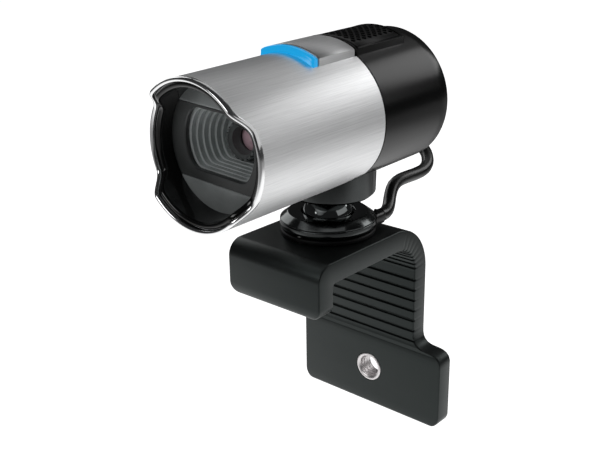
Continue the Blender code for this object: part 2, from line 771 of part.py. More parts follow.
def build_rear(gloss, satin, alu, blue, pcb, chip, steel, head):
    place = along_head()
    tube = [
        (HEAD_R, -0.15),
        (HEAD_R, -REAR_L + 0.35),
        (HEAD_R - 0.35, -REAR_L),
        (16.1, -REAR_L),
        (16.1, -REAR_L + 2.0),
        (16.5, -REAR_L + 2.0),
        (16.5, -0.15),
    ]
    shell = finish("rear_housing", turned(tube, place, True, 60), gloss, head)
    ridge = finish(
        "ridge_housing", bar_block(17.2, BAR_R, -0.15, -GRILLE_BACK, BAR_HALF), None, head, hidden=True
    )
    pocket = finish(
        "pocket_housing", bar_block(12.0, 25.0, -1.0, -GRILLE_BACK + 0.9, BAR_HALF - 0.75), None, head, hidden=True
    )
    cut(shell, ridge, "UNION")
    cut(shell, pocket)

    cap = [(0.02, -REAR_L + 1.7), (15.85, -REAR_L + 1.7), (15.85, -REAR_L + 0.35), (15.5, -REAR_L + 0.05)]
    cap += [(9.0, -REAR_L - 0.1), (0.02, -REAR_L - 0.15)]
    finish("rear_cap", turned(cap, place, False, 48), gloss, head)

    grille = finish(
        "mic_grille", bar_block(17.6, BAR_R - 0.15, -1.2, -GRILLE_BACK + 1.1, BAR_HALF - 0.95), satin, head
    )
    holes = bmesh.new()
    for row in range(5):
        for col in range(5):
            x = (col - 2.0) * 2.6 + (0.55 if row % 2 else -0.55)
            y = -SEAM + 3.8 + row * 3.0
            a = math.asin(x / BAR_R)
            made = bmesh.ops.create_cone(
                holes, cap_ends=True, segments=4, radius1=0.9, radius2=0.9, depth=6.0
            )["verts"]
            turn = Matrix.Rotation(a, 4, "Y")
            at = Vector((17.5 * math.sin(a), y, AXIS_H + 17.5 * math.cos(a)))
            bmesh.ops.transform(holes, matrix=Matrix.Translation(at) @ turn, verts=made)
    holes_obj = finish("holes_grille", holes, None, head, hidden=True)
    cut(grille, holes_obj)

    finish("light_bar", bar_block(16.0, BAR_R, LIGHT_FRONT, LIGHT_BACK, BAR_HALF), blue, head)

    press = pivot("button_axis", (0.0, -SEAM * MM, (AXIS_H + BAR_R) * MM), head)
    lift = Matrix.Translation(Vector((0.0, SEAM, -AXIS_H - BAR_R)))
    button_mesh = bar_block(17.2, BAR_R, LIGHT_BACK - 0.25, BUTTON_BACK, BAR_HALF)
    bmesh.ops.transform(button_mesh, matrix=lift, verts=button_mesh.verts)
    button = finish("call_button", button_mesh, alu, press)
    bevel(button, 0.3)

    finish("button_switch", box(-3.0, 3.0, -SEAM - 10.5, -SEAM - 4.5, AXIS_H + 10.6, AXIS_H + 16.1), chip, head)
    finish("button_board", box(-8.0, 8.0, -SEAM - 15.5, -SEAM - 0.5, AXIS_H + 9.2, AXIS_H + 10.3), pcb, head)
    finish("status_led", box(-1.6, 1.6, -SEAM - 16.2, -SEAM - 14.9, AXIS_H + 12.8, AXIS_H + 15.2), satin, head)
    finish("main_board", box(-12.5, 12.5, -SEAM - 14.0, -SEAM + 23.0, AXIS_H - 4.2, AXIS_H - 3.0), pcb, head)
    finish("main_chip", box(-5.0, 5.0, -SEAM + 4.0, -SEAM + 14.0, AXIS_H - 2.7, AXIS_H - 1.4), chip, head)
    finish(
        "microphone",
        turned([(0.02, 11.0), (3.0, 11.0), (3.0, 13.6), (0.02, 13.6)], mic_place, False, 32),
        steel,
        head,
    )


def mic_place(radius, z, angle):
    return Vector((radius * math.cos(angle), -SEAM + 10.0 + radius * math.sin(angle), AXIS_H + z))


def build_cord(cord_mat, satin, steel, tongue_mat):
    start = Vector((GLAND_X, GLAND_TIP + 0.3, GLAND_Z))
    knots = [
        (GLAND_X, GLAND_TIP + 1.4, GLAND_Z - 0.1),
        (8.6, 14.0, 8.9),
        (8.0, 15.7, 9.05),
        (7.4, 17.05, 9.4),
        (6.8, 18.15, 9.85),
        (6.05, 19.4, 10.55),
        (5.4, 20.55, 11.25),
        (4.7, 22.0, 12.2),
        (4.1, 23.7, 13.1),
        (3.85, 25.3, 13.65),
        (3.8, 27.0, 14.0),
        (3.85, 29.3, 14.1),
        (3.95, 31.6, 14.1),
        (4.0, 35.5, 14.05),
        (3.7, 39.5, 14.3),
        (2.3, 43.4, 15.4),
        (-0.9, 46.7, 17.3),
        (-6.2, 48.9, 19.3),
        (-13.6, 49.4, 20.2),
        coil_point(50.5, 13.5, 18.3),
        coil_point(56.0, 7.3, 13.2),
        coil_point(60.8, 4.5, 8.3),
        coil_point(66.0, COIL_LAT, 5.7),
    ]
    polyline("cable", [start] + smooth_path(knots, 3.4), CORD_D / 2, cord_mat)

    half_w = 2.5 * CORD_D
    outer_r = COIL_MEAN + 1.5 * CORD_D
    inner_r = COIL_MEAN - 1.5 * CORD_D

    def coil_place(radius, across, angle):
        return coil_point(COIL_F + radius * math.cos(angle), COIL_LAT + across, COIL_Z + radius * math.sin(angle))

    profile = [
        (outer_r, -half_w + 1.4),
        (outer_r, half_w - 1.4),
        (outer_r - 1.4, half_w),
        (inner_r + 1.4, half_w),
        (inner_r, half_w - 1.4),
        (inner_r, -half_w + 1.4),
        (inner_r + 1.4, -half_w),
        (outer_r - 1.4, -half_w),
    ]
    finish("cable_coil", turned(profile, coil_place, True, 48), cord_mat)

    tie = []
    for grow in (0.35, 1.35):
        loop = []
        for r, w in (
            (outer_r + grow, half_w + grow),
            (inner_r - grow, half_w + grow),
            (inner_r - grow, -half_w - grow),
            (outer_r + grow, -half_w - grow),
        ):
            loop.append((r, w))
        tie.append(loop)
    loops = []
    for z_off in (-2.0, 2.0):
        for loop in tie if z_off < 0 else reversed(tie):
            points = []
            for r, w in loop:
                angle = math.radians(90)
                along = COIL_F + z_off
                points.append(coil_point(along, COIL_LAT + w, COIL_Z + r))
            loops.append(points)
    finish("coil_tie", rings(loops, True), satin)

    far = COIL_F + COIL_MEAN + CORD_D
    top = COIL_Z - 13.6 - 0.5

    def hang(radius, z, angle):
        return coil_point(far + radius * math.cos(angle), COIL_LAT + radius * math.sin(angle), z)

    boot = [(0.02, top), (1.9, top), (2.1, top - 1.5), (2.9, top - 9.0), (0.02, top - 9.0)]
    finish("plug_boot", turned(boot, hang, False, 16), cord_mat)

    def block(name, half_along, half_across, z_low, z_high, mat, edge):
        loops = []
        for z, shrink in ((z_low, edge), (z_low + edge, 0.0), (z_high - edge, 0.0), (z_high, edge)):
            loop = []
            for i in range(24):
                t = 2 * math.pi * (i + 0.5) / 24
                c, s = math.cos(t), math.sin(t)
                u = math.copysign(abs(c) ** 0.35, c) * (half_along - shrink)
                v = math.copysign(abs(s) ** 0.35, s) * (half_across - shrink)
                loop.append(coil_point(far + v, COIL_LAT + u, z))
            loops.append(loop)
        return finish(name, rings(loops, False), mat)

    body_top = top - 9.3
    block("plug_body", 7.9, 4.0, body_top - 19.0, body_top, satin, 0.7)
    shell_top = body_top - 19.3
    shell_loops = []
    for u, v, z in (
        (6.0, 2.25, shell_top),
        (6.0, 2.25, shell_top - 11.8),
        (5.7, 1.95, shell_top - 11.8),
        (5.7, 1.95, shell_top),
    ):
        shell_loops.append(
            [coil_point(far + sv * v, COIL_LAT + su * u, z) for su, sv in ((1, 1), (-1, 1), (-1, -1), (1, -1))]
        )
    finish("plug_shell", rings(shell_loops, True), steel)
    tongue = []
    for z in (shell_top - 10.8, shell_top - 0.2):
        tongue.append(
            [coil_point(far + v, COIL_LAT + u, z) for u, v in ((5.4, -1.6), (-5.4, -1.6), (-5.4, 0.0), (5.4, 0.0))]
        )
    finish("plug_tongue", rings(tongue, False), tongue_mat)


build()
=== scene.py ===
"""Studio scene of a clip-on webcam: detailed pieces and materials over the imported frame.

Shapes are made in millimetres in the row frame: +Z up, lens towards -Y, origin under the clip's plate.
Lengths along the head run forwards from SEAM, the joint between the sleeve and the rear housing.
"""

import json
import math

import bmesh
import bpy
from mathutils import Matrix, Vector


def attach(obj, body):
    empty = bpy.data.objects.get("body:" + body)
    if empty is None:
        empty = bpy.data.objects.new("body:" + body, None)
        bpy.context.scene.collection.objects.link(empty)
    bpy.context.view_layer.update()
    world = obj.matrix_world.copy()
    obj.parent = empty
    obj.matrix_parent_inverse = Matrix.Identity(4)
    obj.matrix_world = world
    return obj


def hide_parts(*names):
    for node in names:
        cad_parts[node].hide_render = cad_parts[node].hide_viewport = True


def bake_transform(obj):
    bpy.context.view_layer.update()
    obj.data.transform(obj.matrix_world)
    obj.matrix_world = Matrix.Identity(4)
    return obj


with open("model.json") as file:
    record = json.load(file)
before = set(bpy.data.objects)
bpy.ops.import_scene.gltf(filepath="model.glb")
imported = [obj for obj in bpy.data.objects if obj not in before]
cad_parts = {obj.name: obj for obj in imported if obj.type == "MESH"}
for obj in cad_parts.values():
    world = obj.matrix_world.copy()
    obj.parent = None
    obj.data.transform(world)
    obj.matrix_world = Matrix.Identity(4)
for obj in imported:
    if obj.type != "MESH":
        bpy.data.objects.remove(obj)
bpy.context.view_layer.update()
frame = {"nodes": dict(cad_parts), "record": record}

MM = 0.001
TAU = 2 * math.pi

# Clip: half width and thicknesses of the strip, its bends, the foot, the insert and the grip grooves.
STRIP_HALF, STRIP_T, LIP_T, LEG_T = 15.66, 5.9, 5.65, 5.55
FRONT_Y, REAR_Y, LIP_DROP = -22.4, 24.3, 8.55
FRONT_BEND, REAR_BEND = 4.4, 14.26
BEND_Y, BEND_Z = REAR_Y - REAR_BEND, STRIP_T - REAR_BEND
LIP_CORNER, FOOT_CORNER, END_ROUND = 3.0, 3.5, 0.8
FOOT_HALF, FOOT_BOTTOM = 25.0, -55.35
HOLE_Z, INSERT_R, INSERT_BORE = -43.3, 4.4, 3.2
THREAD_PITCH, THREAD_DEPTH = 1.27, 0.20
GROOVE_Z, GROOVE_PITCH, GROOVE_DEPTH, GROOVE_HALF = -29.74, 3.14, 0.5, 0.42
SCREW_RING, SCREW_WELL = 11.1, 2.3

# Collar, ball and the boss where the cord leaves.
BALL_Z, BALL_R = 10.4, 6.8
COLLAR_R, COLLAR_TOP, COLLAR_TOP_R, COLLAR_HOLE_R = 12.9, 11.65, 10.8, 7.25
CUP_TOP, CAP_BOTTOM, FLANGE_Z = 9.72, 9.87, STRIP_T + 0.3
GLAND_X, GLAND_Z, GLAND_TIP, GLAND_HALF = 8.9, 9.05, 11.0, 2.35

# Head: its stance in degrees, radii, lengths of the petals, face, neck and top bar.
HEAD_SWIVEL, HEAD_LEAN, HEAD_TILT = 0.2, 2.9, 1.1
AXIS_H, SEAM = 28.1, 0.8
HEAD_R, HEAD_R_FRONT, WALL = 18.15, 17.85, 1.05
PETAL_LONG, PETAL_SHORT, PETAL_ANGLE, PETAL_BLEND = 48.1, 44.3, 36.5, 11.0
LINER_IN, FACE_L, FACE_T, REAR_L = 15.35, 39.2, 1.2, 27.5
WINDOW_R, WINDOW_HALF, WINDOW_RISE = 11.05, 7.45, 0.85
RIBS, RIB_DEPTH, RIB_STEP_R, RIB_STEP_HALF = 6, 1.4, 0.66, 0.37
BARREL_R, SCALLOPS, SCALLOP_DEPTH, GLASS_R = 4.8, 18, 0.45, 3.1
NECK_R, NECK_IN, NECK_BOTTOM, NECK_SPLIT = 12.4, 9.9, 7.05, 2.9
BAR_HALF, BAR_R = 8.38, 19.8
LIGHT_FRONT, LIGHT_BACK, BUTTON_BACK, GRILLE_BACK = 16.45, 14.55, 0.6, 19.9

# Cord: its coil stands behind the clip, at COIL_F along a line that slopes away from the lens.
CORD_D, COIL_MEAN, COIL_F, COIL_LAT, COIL_Z = 3.6, 18.0, 71.4, 3.5, -20.0
COIL_SLOPE = math.radians(41.5)
TURN_POINTS, PLUG_TOP = 28, COIL_Z - 14.1

HEAD = (
    Matrix.Translation((0.0, 0.0, BALL_Z))
    @ Matrix.Rotation(math.radians(HEAD_SWIVEL), 4, "Z")
    @ Matrix.Rotation(math.radians(HEAD_LEAN), 4, "Y")
    @ Matrix.Rotation(math.radians(HEAD_TILT), 4, "X")
)
WORLD = Matrix.Identity(4)


# Camera ---------------------------------------------------------------------------------------


def add_camera():
    yaw, pitch, roll = math.radians(41.5), math.radians(20.29), math.radians(-0.87)
    forward = Vector(
        (-math.sin(yaw) * math.cos(pitch), math.cos(yaw) * math.cos(pitch), -math.sin(pitch))
    )
    right0 = Vector((math.cos(yaw), math.sin(yaw), 0.0))
    up0 = right0.cross(forward)
    right = math.cos(roll) * right0 + math.sin(roll) * up0
    up = -math.sin(roll) * right0 + math.cos(roll) * up0
    data = bpy.data.cameras.new("camera")
    data.sensor_width = 36.0
    data.lens = 57.26
    data.clip_start = 0.01
    cam = bpy.data.objects.new("camera", data)
    bpy.context.collection.objects.link(cam)
    turn = Matrix((right, up, -forward)).transposed().to_4x4()
    cam.matrix_world = Matrix.Translation((0.15321, -0.18450, 0.09606)) @ turn
    bpy.context.scene.camera = cam


add_camera()


# Mesh helpers ---------------------------------------------------------------------------------


SLOTS = {row["node"]: row["material_slot"] for row in frame["record"]["subparts"]}


def show(obj):
    bpy.context.collection.objects.link(obj)
    return obj


def finish(name, bm, frame_matrix, mat, body, *nodes, smooth=32.0):
    """Millimetres in a local frame to a finished piece; 'local' keeps those millimetres for the materials."""
    bmesh.ops.remove_doubles(bm, verts=bm.verts, dist=1e-4)
    bmesh.ops.recalc_face_normals(bm, faces=bm.faces)
    mesh = bpy.data.meshes.new(name)
    bm.to_mesh(mesh)
    bm.free()
    local = mesh.attributes.new("local", "FLOAT_VECTOR", "POINT")
    for slot, vert in zip(local.data, mesh.vertices):
        slot.vector = vert.co
    mesh.transform(Matrix.Scale(MM, 4) @ frame_matrix)
    mesh.materials.append(mat)
    mesh.shade_smooth()
    mesh.set_sharp_from_angle(angle=math.radians(smooth))
    obj = show(bpy.data.objects.new(name, mesh))
    if body:
        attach(obj, body)
    if nodes:
        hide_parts(*nodes)
    return obj


def scratch(bm):
    """Temporary object for a cutter."""
    bmesh.ops.recalc_face_normals(bm, faces=bm.faces)
    mesh = bpy.data.meshes.new("scratch")
    bm.to_mesh(mesh)
    bm.free()
    return show(bpy.data.objects.new("scratch", mesh))


def carve(bm, cutters, operation="DIFFERENCE"):
    """bm with the cutters taken out, as a new bmesh."""
    base = scratch(bm)
    helpers = [scratch(cutter) for cutter in cutters]
    for helper in helpers:
        mod = base.modifiers.new("cut", "BOOLEAN")
        mod.operation = operation
        mod.solver = "EXACT"
        mod.object = helper
    graph = bpy.context.evaluated_depsgraph_get()
    graph.update()
    out = bmesh.new()
    out.from_object(base, graph)
    for obj in [base, *helpers]:
        bpy.data.objects.remove(obj, do_unlink=True)
    return out


def skin(loops, closed):
    """Quads between loops of points; closed joins the last loop to the first, else each end has a cap."""
    bm = bmesh.new()
    made = [[bm.verts.new(p) for p in loop] for loop in loops]
    count = len(made[0])
    pairs = list(zip(made, made[1:]))
    if closed:
        pairs.append((made[-1], made[0]))
    for first, second in pairs:
        for i in range(count):
            j = (i + 1) % count
            bm.faces.new((first[i], first[j], second[j], second[i]))
    if not closed:
        bm.faces.new(made[0])
        bm.faces.new(list(reversed(made[-1])))
    return bm


def fillet(points, radius, steps=4, closed=True):
    """Polyline of (radius, length) pairs with its corners rounded."""
    points = [Vector(p) for p in points]
    out = []
    count = len(points)
    for i, p in enumerate(points):
        if not closed and i in (0, count - 1):
            out.append(p)
            continue
        a = points[i - 1] - p
        b = points[(i + 1) % count] - p
        if a.length < 1e-6 or b.length < 1e-6:
            out.append(p)
            continue
        half = a.angle(b) / 2
        if half > math.radians(84):
            out.append(p)
            continue
        cut = min(radius / math.tan(half), 0.45 * a.length, 0.45 * b.length)
        p0 = p + a.normalized() * cut
        p1 = p + b.normalized() * cut
        for k in range(steps + 1):
            t = k / steps
            out.append((1 - t) ** 2 * p0 + 2 * t * (1 - t) * p + t * t * p1)
    return [tuple(p) for p in out]


def turned(profile, place, closed=True, segments=128):
    """Solid of revolution from a profile of (radius, length) pairs; place puts a point in space."""
    loops = []
    for radius, length in profile:
        loops.append([place(radius, length, TAU * i / segments) for i in range(segments)])
    return skin(loops, closed)


def upright(cx=0.0, cy=0.0):
    """Placer round a vertical axis."""
    return lambda r, z, a: Vector((cx + r * math.cos(a), cy + r * math.sin(a), z))


def along_head():
    """Placer round the axis of the head, with lengths forwards from the seam."""
    return lambda r, at, a: Vector((r * math.cos(a), -SEAM - at, AXIS_H + r * math.sin(a)))


def along_y(cx, cz):
    """Placer round an axis along Y."""
    return lambda r, y, a: Vector((cx + r * math.cos(a), y, cz + r * math.sin(a)))


def box(x0, x1, y0, y1, z0, z1):
    bm = bmesh.new()
    bmesh.ops.create_cube(bm, size=1.0)
    bmesh.ops.scale(bm, vec=(x1 - x0, y1 - y0, z1 - z0), verts=bm.verts)
    bmesh.ops.translate(bm, vec=((x0 + x1) / 2, (y0 + y1) / 2, (z0 + z1) / 2), verts=bm.verts)
    return bm


def rounded(angle, power):
    """Cosine and sine of a squared-off circle."""
    c, s = math.cos(angle), math.sin(angle)
    return math.copysign(abs(c) ** power, c), math.copysign(abs(s) ** power, s)


def ease_in_out(t):
    return t * t * (3 - 2 * t)


# Material helpers -----------------------------------------------------------------------------


def new_material(name, color, roughness, metallic=0.0, **sockets):
    mat = bpy.data.materials.new(name)
    mat.use_nodes = True
    shader = mat.node_tree.nodes["Principled BSDF"]
    shader.inputs["Base Color"].default_value = (*color, 1.0)
    shader.inputs["Roughness"].default_value = roughness
    shader.inputs["Metallic"].default_value = metallic
    for key, value in sockets.items():
        shader.inputs[key.replace("_", " ")].default_value = value
    return mat, mat.node_tree, shader


def add(tree, kind, **settings):
    node = tree.nodes.new(kind)
    for key, value in settings.items():
        if hasattr(node, key):
            setattr(node, key, value)
        else:
            node.inputs[key].default_value = value
    return node


def arithmetic(tree, operation, *values):
    """Math node on sockets and numbers."""
    node = add(tree, "ShaderNodeMath", operation=operation)
    for slot, value in zip(node.inputs, values):
        if isinstance(value, bpy.types.NodeSocket):
            tree.links.new(value, slot)
        else:
            slot.default_value = value
    return node.outputs[0]


def add_fade(tree, source, kind, *span):
    """Map Range node from one reading to another; span is From Min, From Max, To Min and To Max."""
    fade = add(tree, "ShaderNodeMapRange", interpolation_type=kind)
    for label, value in zip(("From Min", "From Max", "To Min", "To Max"), span):
        fade.inputs[label].default_value = value
    tree.links.new(source, fade.inputs["Value"])
    return fade.outputs["Result"]


def link_coords(tree, source, scale, target):
    """Feeds a group with Object coordinates or the piece's own millimetres, scaled along each axis."""
    if source == "object":
        out = add(tree, "ShaderNodeTexCoord").outputs["Object"]
        scale = tuple(1000.0 * s for s in scale)
    else:
        out = add(tree, "ShaderNodeAttribute", attribute_name="local").outputs["Vector"]
    mapping = add(tree, "ShaderNodeMapping", Scale=scale)
    tree.links.new(out, mapping.inputs["Vector"])
    tree.links.new(mapping.outputs["Vector"], target)


def texture_group(name, slow_scale, fine_detail):
    """Node group: slow clouds mix two colours, fine noise gives the roughness and the height."""
    tree = bpy.data.node_groups.new(name, "ShaderNodeTree")
    for label, kind in (
        ("Vector", "Vector"),
        ("Light", "Color"),
        ("Dark", "Color"),
        ("Roughness", "Float"),
        ("Roughness Span", "Float"),
        ("Grain", "Float"),
    ):
        tree.interface.new_socket(label, in_out="INPUT", socket_type="NodeSocket" + kind)
    for label, kind in (("Color", "Color"), ("Roughness", "Float"), ("Height", "Float")):
        tree.interface.new_socket(label, in_out="OUTPUT", socket_type="NodeSocket" + kind)
    link = tree.links.new
    entry = add(tree, "NodeGroupInput").outputs
    leave = add(tree, "NodeGroupOutput").inputs
    slow = add(tree, "ShaderNodeTexNoise", Scale=slow_scale, Detail=2.0)
    fine = add(tree, "ShaderNodeTexNoise", Detail=fine_detail)
    link(entry["Vector"], slow.inputs["Vector"])
    link(entry["Vector"], fine.inputs["Vector"])
    link(entry["Grain"], fine.inputs["Scale"])
    slow_half = arithmetic(tree, "MULTIPLY", slow.outputs["Fac"], 0.5)
    both = arithmetic(tree, "MULTIPLY_ADD", fine.outputs["Fac"], 0.5, slow_half)
    colour = add(tree, "ShaderNodeMixRGB")
    link(add_fade(tree, both, "LINEAR", 0.35, 0.65, 0.0, 1.0), colour.inputs["Fac"])
    link(entry["Dark"], colour.inputs["Color1"])
    link(entry["Light"], colour.inputs["Color2"])
    link(colour.outputs["Color"], leave["Color"])
    centred = arithmetic(tree, "SUBTRACT", fine.outputs["Fac"], 0.5)
    rough = arithmetic(tree, "MULTIPLY_ADD", centred, entry["Roughness Span"], entry["Roughness"])
    link(rough, leave["Roughness"])
    link(fine.outputs["Fac"], leave["Height"])
    return tree


GRAIN = texture_group("moulded_grain", 0.18, 4.0)
STREAKS = texture_group("brushed_streaks", 0.3, 5.0)


def surface(name, group, light, dark, rough, span, grain, scale, strength, source="object", **sockets):
    """Material with one texture group in the colour, the roughness and the bump."""
    metallic = sockets.pop("metallic", 0.0)
    mat, tree, shader = new_material(name, light, rough, metallic, **sockets)
    made = add(tree, "ShaderNodeGroup", node_tree=group)
    made.inputs["Light"].default_value = (*light, 1.0)
    made.inputs["Dark"].default_value = (*dark, 1.0)
    made.inputs["Roughness"].default_value = rough
    made.inputs["Roughness Span"].default_value = span
    made.inputs["Grain"].default_value = grain
    link_coords(tree, source, scale, made.inputs["Vector"])
    tree.links.new(made.outputs["Color"], shader.inputs["Base Color"])
    tree.links.new(made.outputs["Roughness"], shader.inputs["Roughness"])
    if strength:
        raised = add(tree, "ShaderNodeBump", Strength=strength, Distance=0.00004)
        tree.links.new(made.outputs["Height"], raised.inputs["Height"])
        tree.links.new(raised.outputs["Normal"], shader.inputs["Normal"])
    return mat


def moulded(name, level, rough, grain, strength, span=0.12, tint=(0.94, 1.0, 1.0), **sockets):
    """Moulded plastic or rubber of one grey level, or of a colour when level is a tuple."""
    light = level if isinstance(level, tuple) else tuple(level * t for t in tint)
    dark = tuple(0.72 * v for v in light)
    return surface(name, GRAIN, light, dark, rough, span, grain, (1.0, 1.0, 1.0), strength, **sockets)


def metal(name, light, dark, rough, scale, strength, span=0.10, **sockets):
    """Metal with streaks stretched along one axis of the piece's own frame."""
    sockets["metallic"] = 1.0
    return surface(name, STREAKS, light, dark, rough, span, 1.0, scale, strength, "local", **sockets)


def run_tangent(mat):
    """Spreads the shine of the brushed metal around the head."""
    tree = mat.node_tree
    tangent = add(tree, "ShaderNodeTangent", direction_type="RADIAL", axis="Y")
    tree.links.new(tangent.outputs["Tangent"], tree.nodes["Principled BSDF"].inputs["Tangent"])


# Streak scales along each axis: the brush runs along the head.
BRUSH = (22.0, 0.10, 22.0)

# moulded: name, grey level or colour, roughness, grain per mm, bump. metal: name, light and dark colours,
# roughness, streak scales, bump.
M = {
    "rubber": moulded(
        "soft_touch_rubber",
        0.008,
        0.38,
        9.0,
        0.20,
        Specular_IOR_Level=0.38,
        Specular_Tint=(0.85, 1.0, 0.97, 1.0),
    ),
    "gloss": moulded("gloss_black", 0.006, 0.12, 3.0, 0.02, span=0.04),
    "satin": moulded("satin_black", 0.006, 0.30, 8.0, 0.08),
    "matte": moulded("matte_black", 0.004, 0.55, 10.0, 0.2, Specular_IOR_Level=0.25),
    "housing": moulded("housing_black", 0.003, 0.22, 10.0, 0.05, span=0.05, Specular_IOR_Level=0.34),
    "neck": moulded("neck_black", 0.075, 0.18, 6.0, 0.03, span=0.04, metallic=1.0),
    "collar": moulded("collar_black", 0.14, 0.14, 6.0, 0.02, span=0.03, metallic=1.0),
    "ball": moulded("ball_chrome", 0.30, 0.07, 4.0, 0.0, span=0.02, metallic=1.0),
    "sleeve": metal(
        "brushed_aluminium", (0.94, 0.945, 0.95), (0.74, 0.745, 0.75), 0.38, BRUSH, 0.16, Anisotropic=0.8
    ),
    "button": metal(
        "brushed_button", (0.94, 0.945, 0.95), (0.84, 0.845, 0.85), 0.45, BRUSH, 0.10, Anisotropic=0.6
    ),
    "rim": metal("polished_rim", (0.90, 0.905, 0.91), (0.86, 0.865, 0.87), 0.14, (4.0, 4.0, 4.0), 0.02),
    "steel": metal("plated_steel", (0.66, 0.66, 0.64), (0.52, 0.52, 0.50), 0.26, (3.0, 3.0, 3.0), 0.06),
    "nickel": metal("nickel_insert", (0.80, 0.77, 0.77), (0.70, 0.67, 0.67), 0.40, (2.0, 6.0, 2.0), 0.05),
    "face": moulded("face_grey", 0.075, 0.34, 8.0, 0.08),
    "segment": moulded("segment_grey", 0.40, 0.30, 8.0, 0.08),
    "rib": moulded("rib_grey", 0.62, 0.26, 8.0, 0.06),
    "barrel": moulded("barrel_grey", 0.16, 0.28, 8.0, 0.05),
    "nylon": moulded("nylon", 0.07, 0.5, 5.0, 0.1),
    "pcb": moulded("circuit_board", (0.03, 0.19, 0.085), 0.42, 2.0, 0.1),
    "chip": moulded("moulded_chip", 0.036, 0.36, 12.0, 0.15),
    "copper": metal("wound_copper", (0.72, 0.36, 0.16), (0.42, 0.18, 0.07), 0.34, (0.3, 7.0, 0.3), 0.6),
    "cord": moulded("cord_pvc", 0.010, 0.26, 4.0, 0.05, span=0.06),
    "tongue": moulded("plug_tongue", (0.82, 0.82, 0.80), 0.45, 6.0, 0.05),
    # The blue bar's emission is painted light: a glow that brightens its cyan.
    "blue": moulded(
        "blue_bar_painted_glow",
        (0.0, 0.12, 0.30),
        0.12,
        2.0,
        0.02,
        span=0.04,
        Coat_Weight=0.6,
        Emission_Color=(0.015, 0.42, 0.86, 1.0),
        Emission_Strength=0.80,
    ),
    # The lens glass's pink base colour is a painted glint: reflected colour painted into the glass.
    "glass": moulded("lens_painted_pink_glint", (0.74, 0.50, 0.57), 0.05, 1.0, 0.0, span=0.02, Coat_Weight=1.0),
}
run_tangent(M["sleeve"])
run_tangent(M["button"])


# Cord -----------------------------------------------------------------------------------------


def coil_point(along, across, z):
    """Point behind the clip: along the sloping line, across it, and its height."""
    x = math.cos(COIL_SLOPE) * across - math.sin(COIL_SLOPE) * along
    y = math.sin(COIL_SLOPE) * across + math.cos(COIL_SLOPE) * along
    return Vector((x, y, z))


def smooth_path(knots, step, pieces=24):
    """Curve through the knots, as points about one step apart."""
    knots = [Vector(k) for k in knots]
    fine = []
    ext = [2 * knots[0] - knots[1]] + knots + [2 * knots[-1] - knots[-2]]
    for i in range(1, len(ext) - 2):
        p0, p1, p2, p3 = ext[i - 1 : i + 3]
        for k in range(pieces):
            t = k / pieces
            a = 2 * p1 + (p2 - p0) * t
            b = (2 * p0 - 5 * p1 + 4 * p2 - p3) * t * t
            c = (3 * p1 - p0 - 3 * p2 + p3) * t * t * t
            fine.append((a + b + c) / 2)
    fine.append(knots[-1])
    total = sum((q - p).length for p, q in zip(fine, fine[1:]))
    count = max(2, round(total / step))
    found = [fine[0]]
    run = 0.0
    for p, q in zip(fine, fine[1:]):
        d = (q - p).length
        while run + d >= total * len(found) / count and len(found) < count:
            found.append(p.lerp(q, (total * len(found) / count - run) / d))
        run += d
    found.append(fine[-1])
    return found


def cord_route():
    """From the boss, up and back behind the head, then down to the top of the coil."""
    start = Vector((GLAND_X, GLAND_TIP + 0.3, GLAND_Z))
    knots = [
        (GLAND_X, GLAND_TIP + 1.4, GLAND_Z - 0.1),
        (8.6, 14.0, 8.9),
        (8.0, 15.7, 9.05),
        (7.4, 17.05, 9.4),
        (6.8, 18.15, 9.85),
        (6.05, 19.4, 10.55),
        (5.4, 20.55, 11.25),
        (4.7, 22.0, 12.2),
        (4.1, 23.7, 13.1),
        (3.85, 25.3, 13.65),
        (3.8, 27.0, 14.0),
        (3.85, 29.3, 14.1),
        (3.95, 31.6, 14.1),
        (4.0, 35.5, 14.05),
        (3.7, 39.5, 14.3),
        (2.3, 43.4, 15.4),
        (-0.9, 46.7, 17.3),
        (-6.2, 48.9, 19.3),
        (-13.6, 49.4, 20.2),
        coil_point(50.5, 13.5, 18.3),
        coil_point(56.0, 7.3, 13.2),
        coil_point(60.8, 4.5, 8.3),
        coil_point(66.0, COIL_LAT, 5.7),
    ]
    return [start] + smooth_path(knots, 1.7)


def wound_turns():
    """Clockwise turns from the top of the coil in three layers, then a short tail down to the plug."""
    spots = []
    for layer, radius in enumerate((COIL_MEAN, COIL_MEAN - CORD_D, COIL_MEAN + CORD_D)):
        columns = [-2.0, -1.0, 0.0, 1.0, 2.0]
        if layer % 2:
            columns.reverse()
        spots += [(radius, CORD_D * c) for c in columns]
    points = []

    def wind(radius, across, angle):
        at = COIL_F + radius * math.cos(angle)
        points.append(coil_point(at, COIL_LAT + across, COIL_Z + radius * math.sin(angle)))

    top_r = COIL_MEAN + CORD_D * 2.0 + 0.3
    join_r = spots[0][0] + CORD_D * 1.6
    for k in range(1, 9):
        wind(top_r + (join_r - top_r) * ease_in_out(k / 8), 0.0, math.radians(90 - 9 * k))
    start = math.radians(90 - 72)
    old_r, old_w = join_r, 0.0
    for index, (new_r, new_w) in enumerate(spots):
        share = 0.25 if index else 0.5
        for k in range(1, TURN_POINTS + 1):
            t = ease_in_out(min(1.0, k / (TURN_POINTS * share)))
            angle = start - TAU * (index + k / TURN_POINTS)
            wind(old_r + (new_r - old_r) * t, old_w + (new_w - old_w) * t, angle)
        old_r, old_w = new_r, new_w
    for k in range(1, 4):
        wind(old_r, old_w * (1 - k / 3), start - math.radians(6.0 * k))
    for drop in (6.0, 10.0, 13.9):
        points.append(coil_point(COIL_F + old_r, COIL_LAT, COIL_Z - drop))
    return points


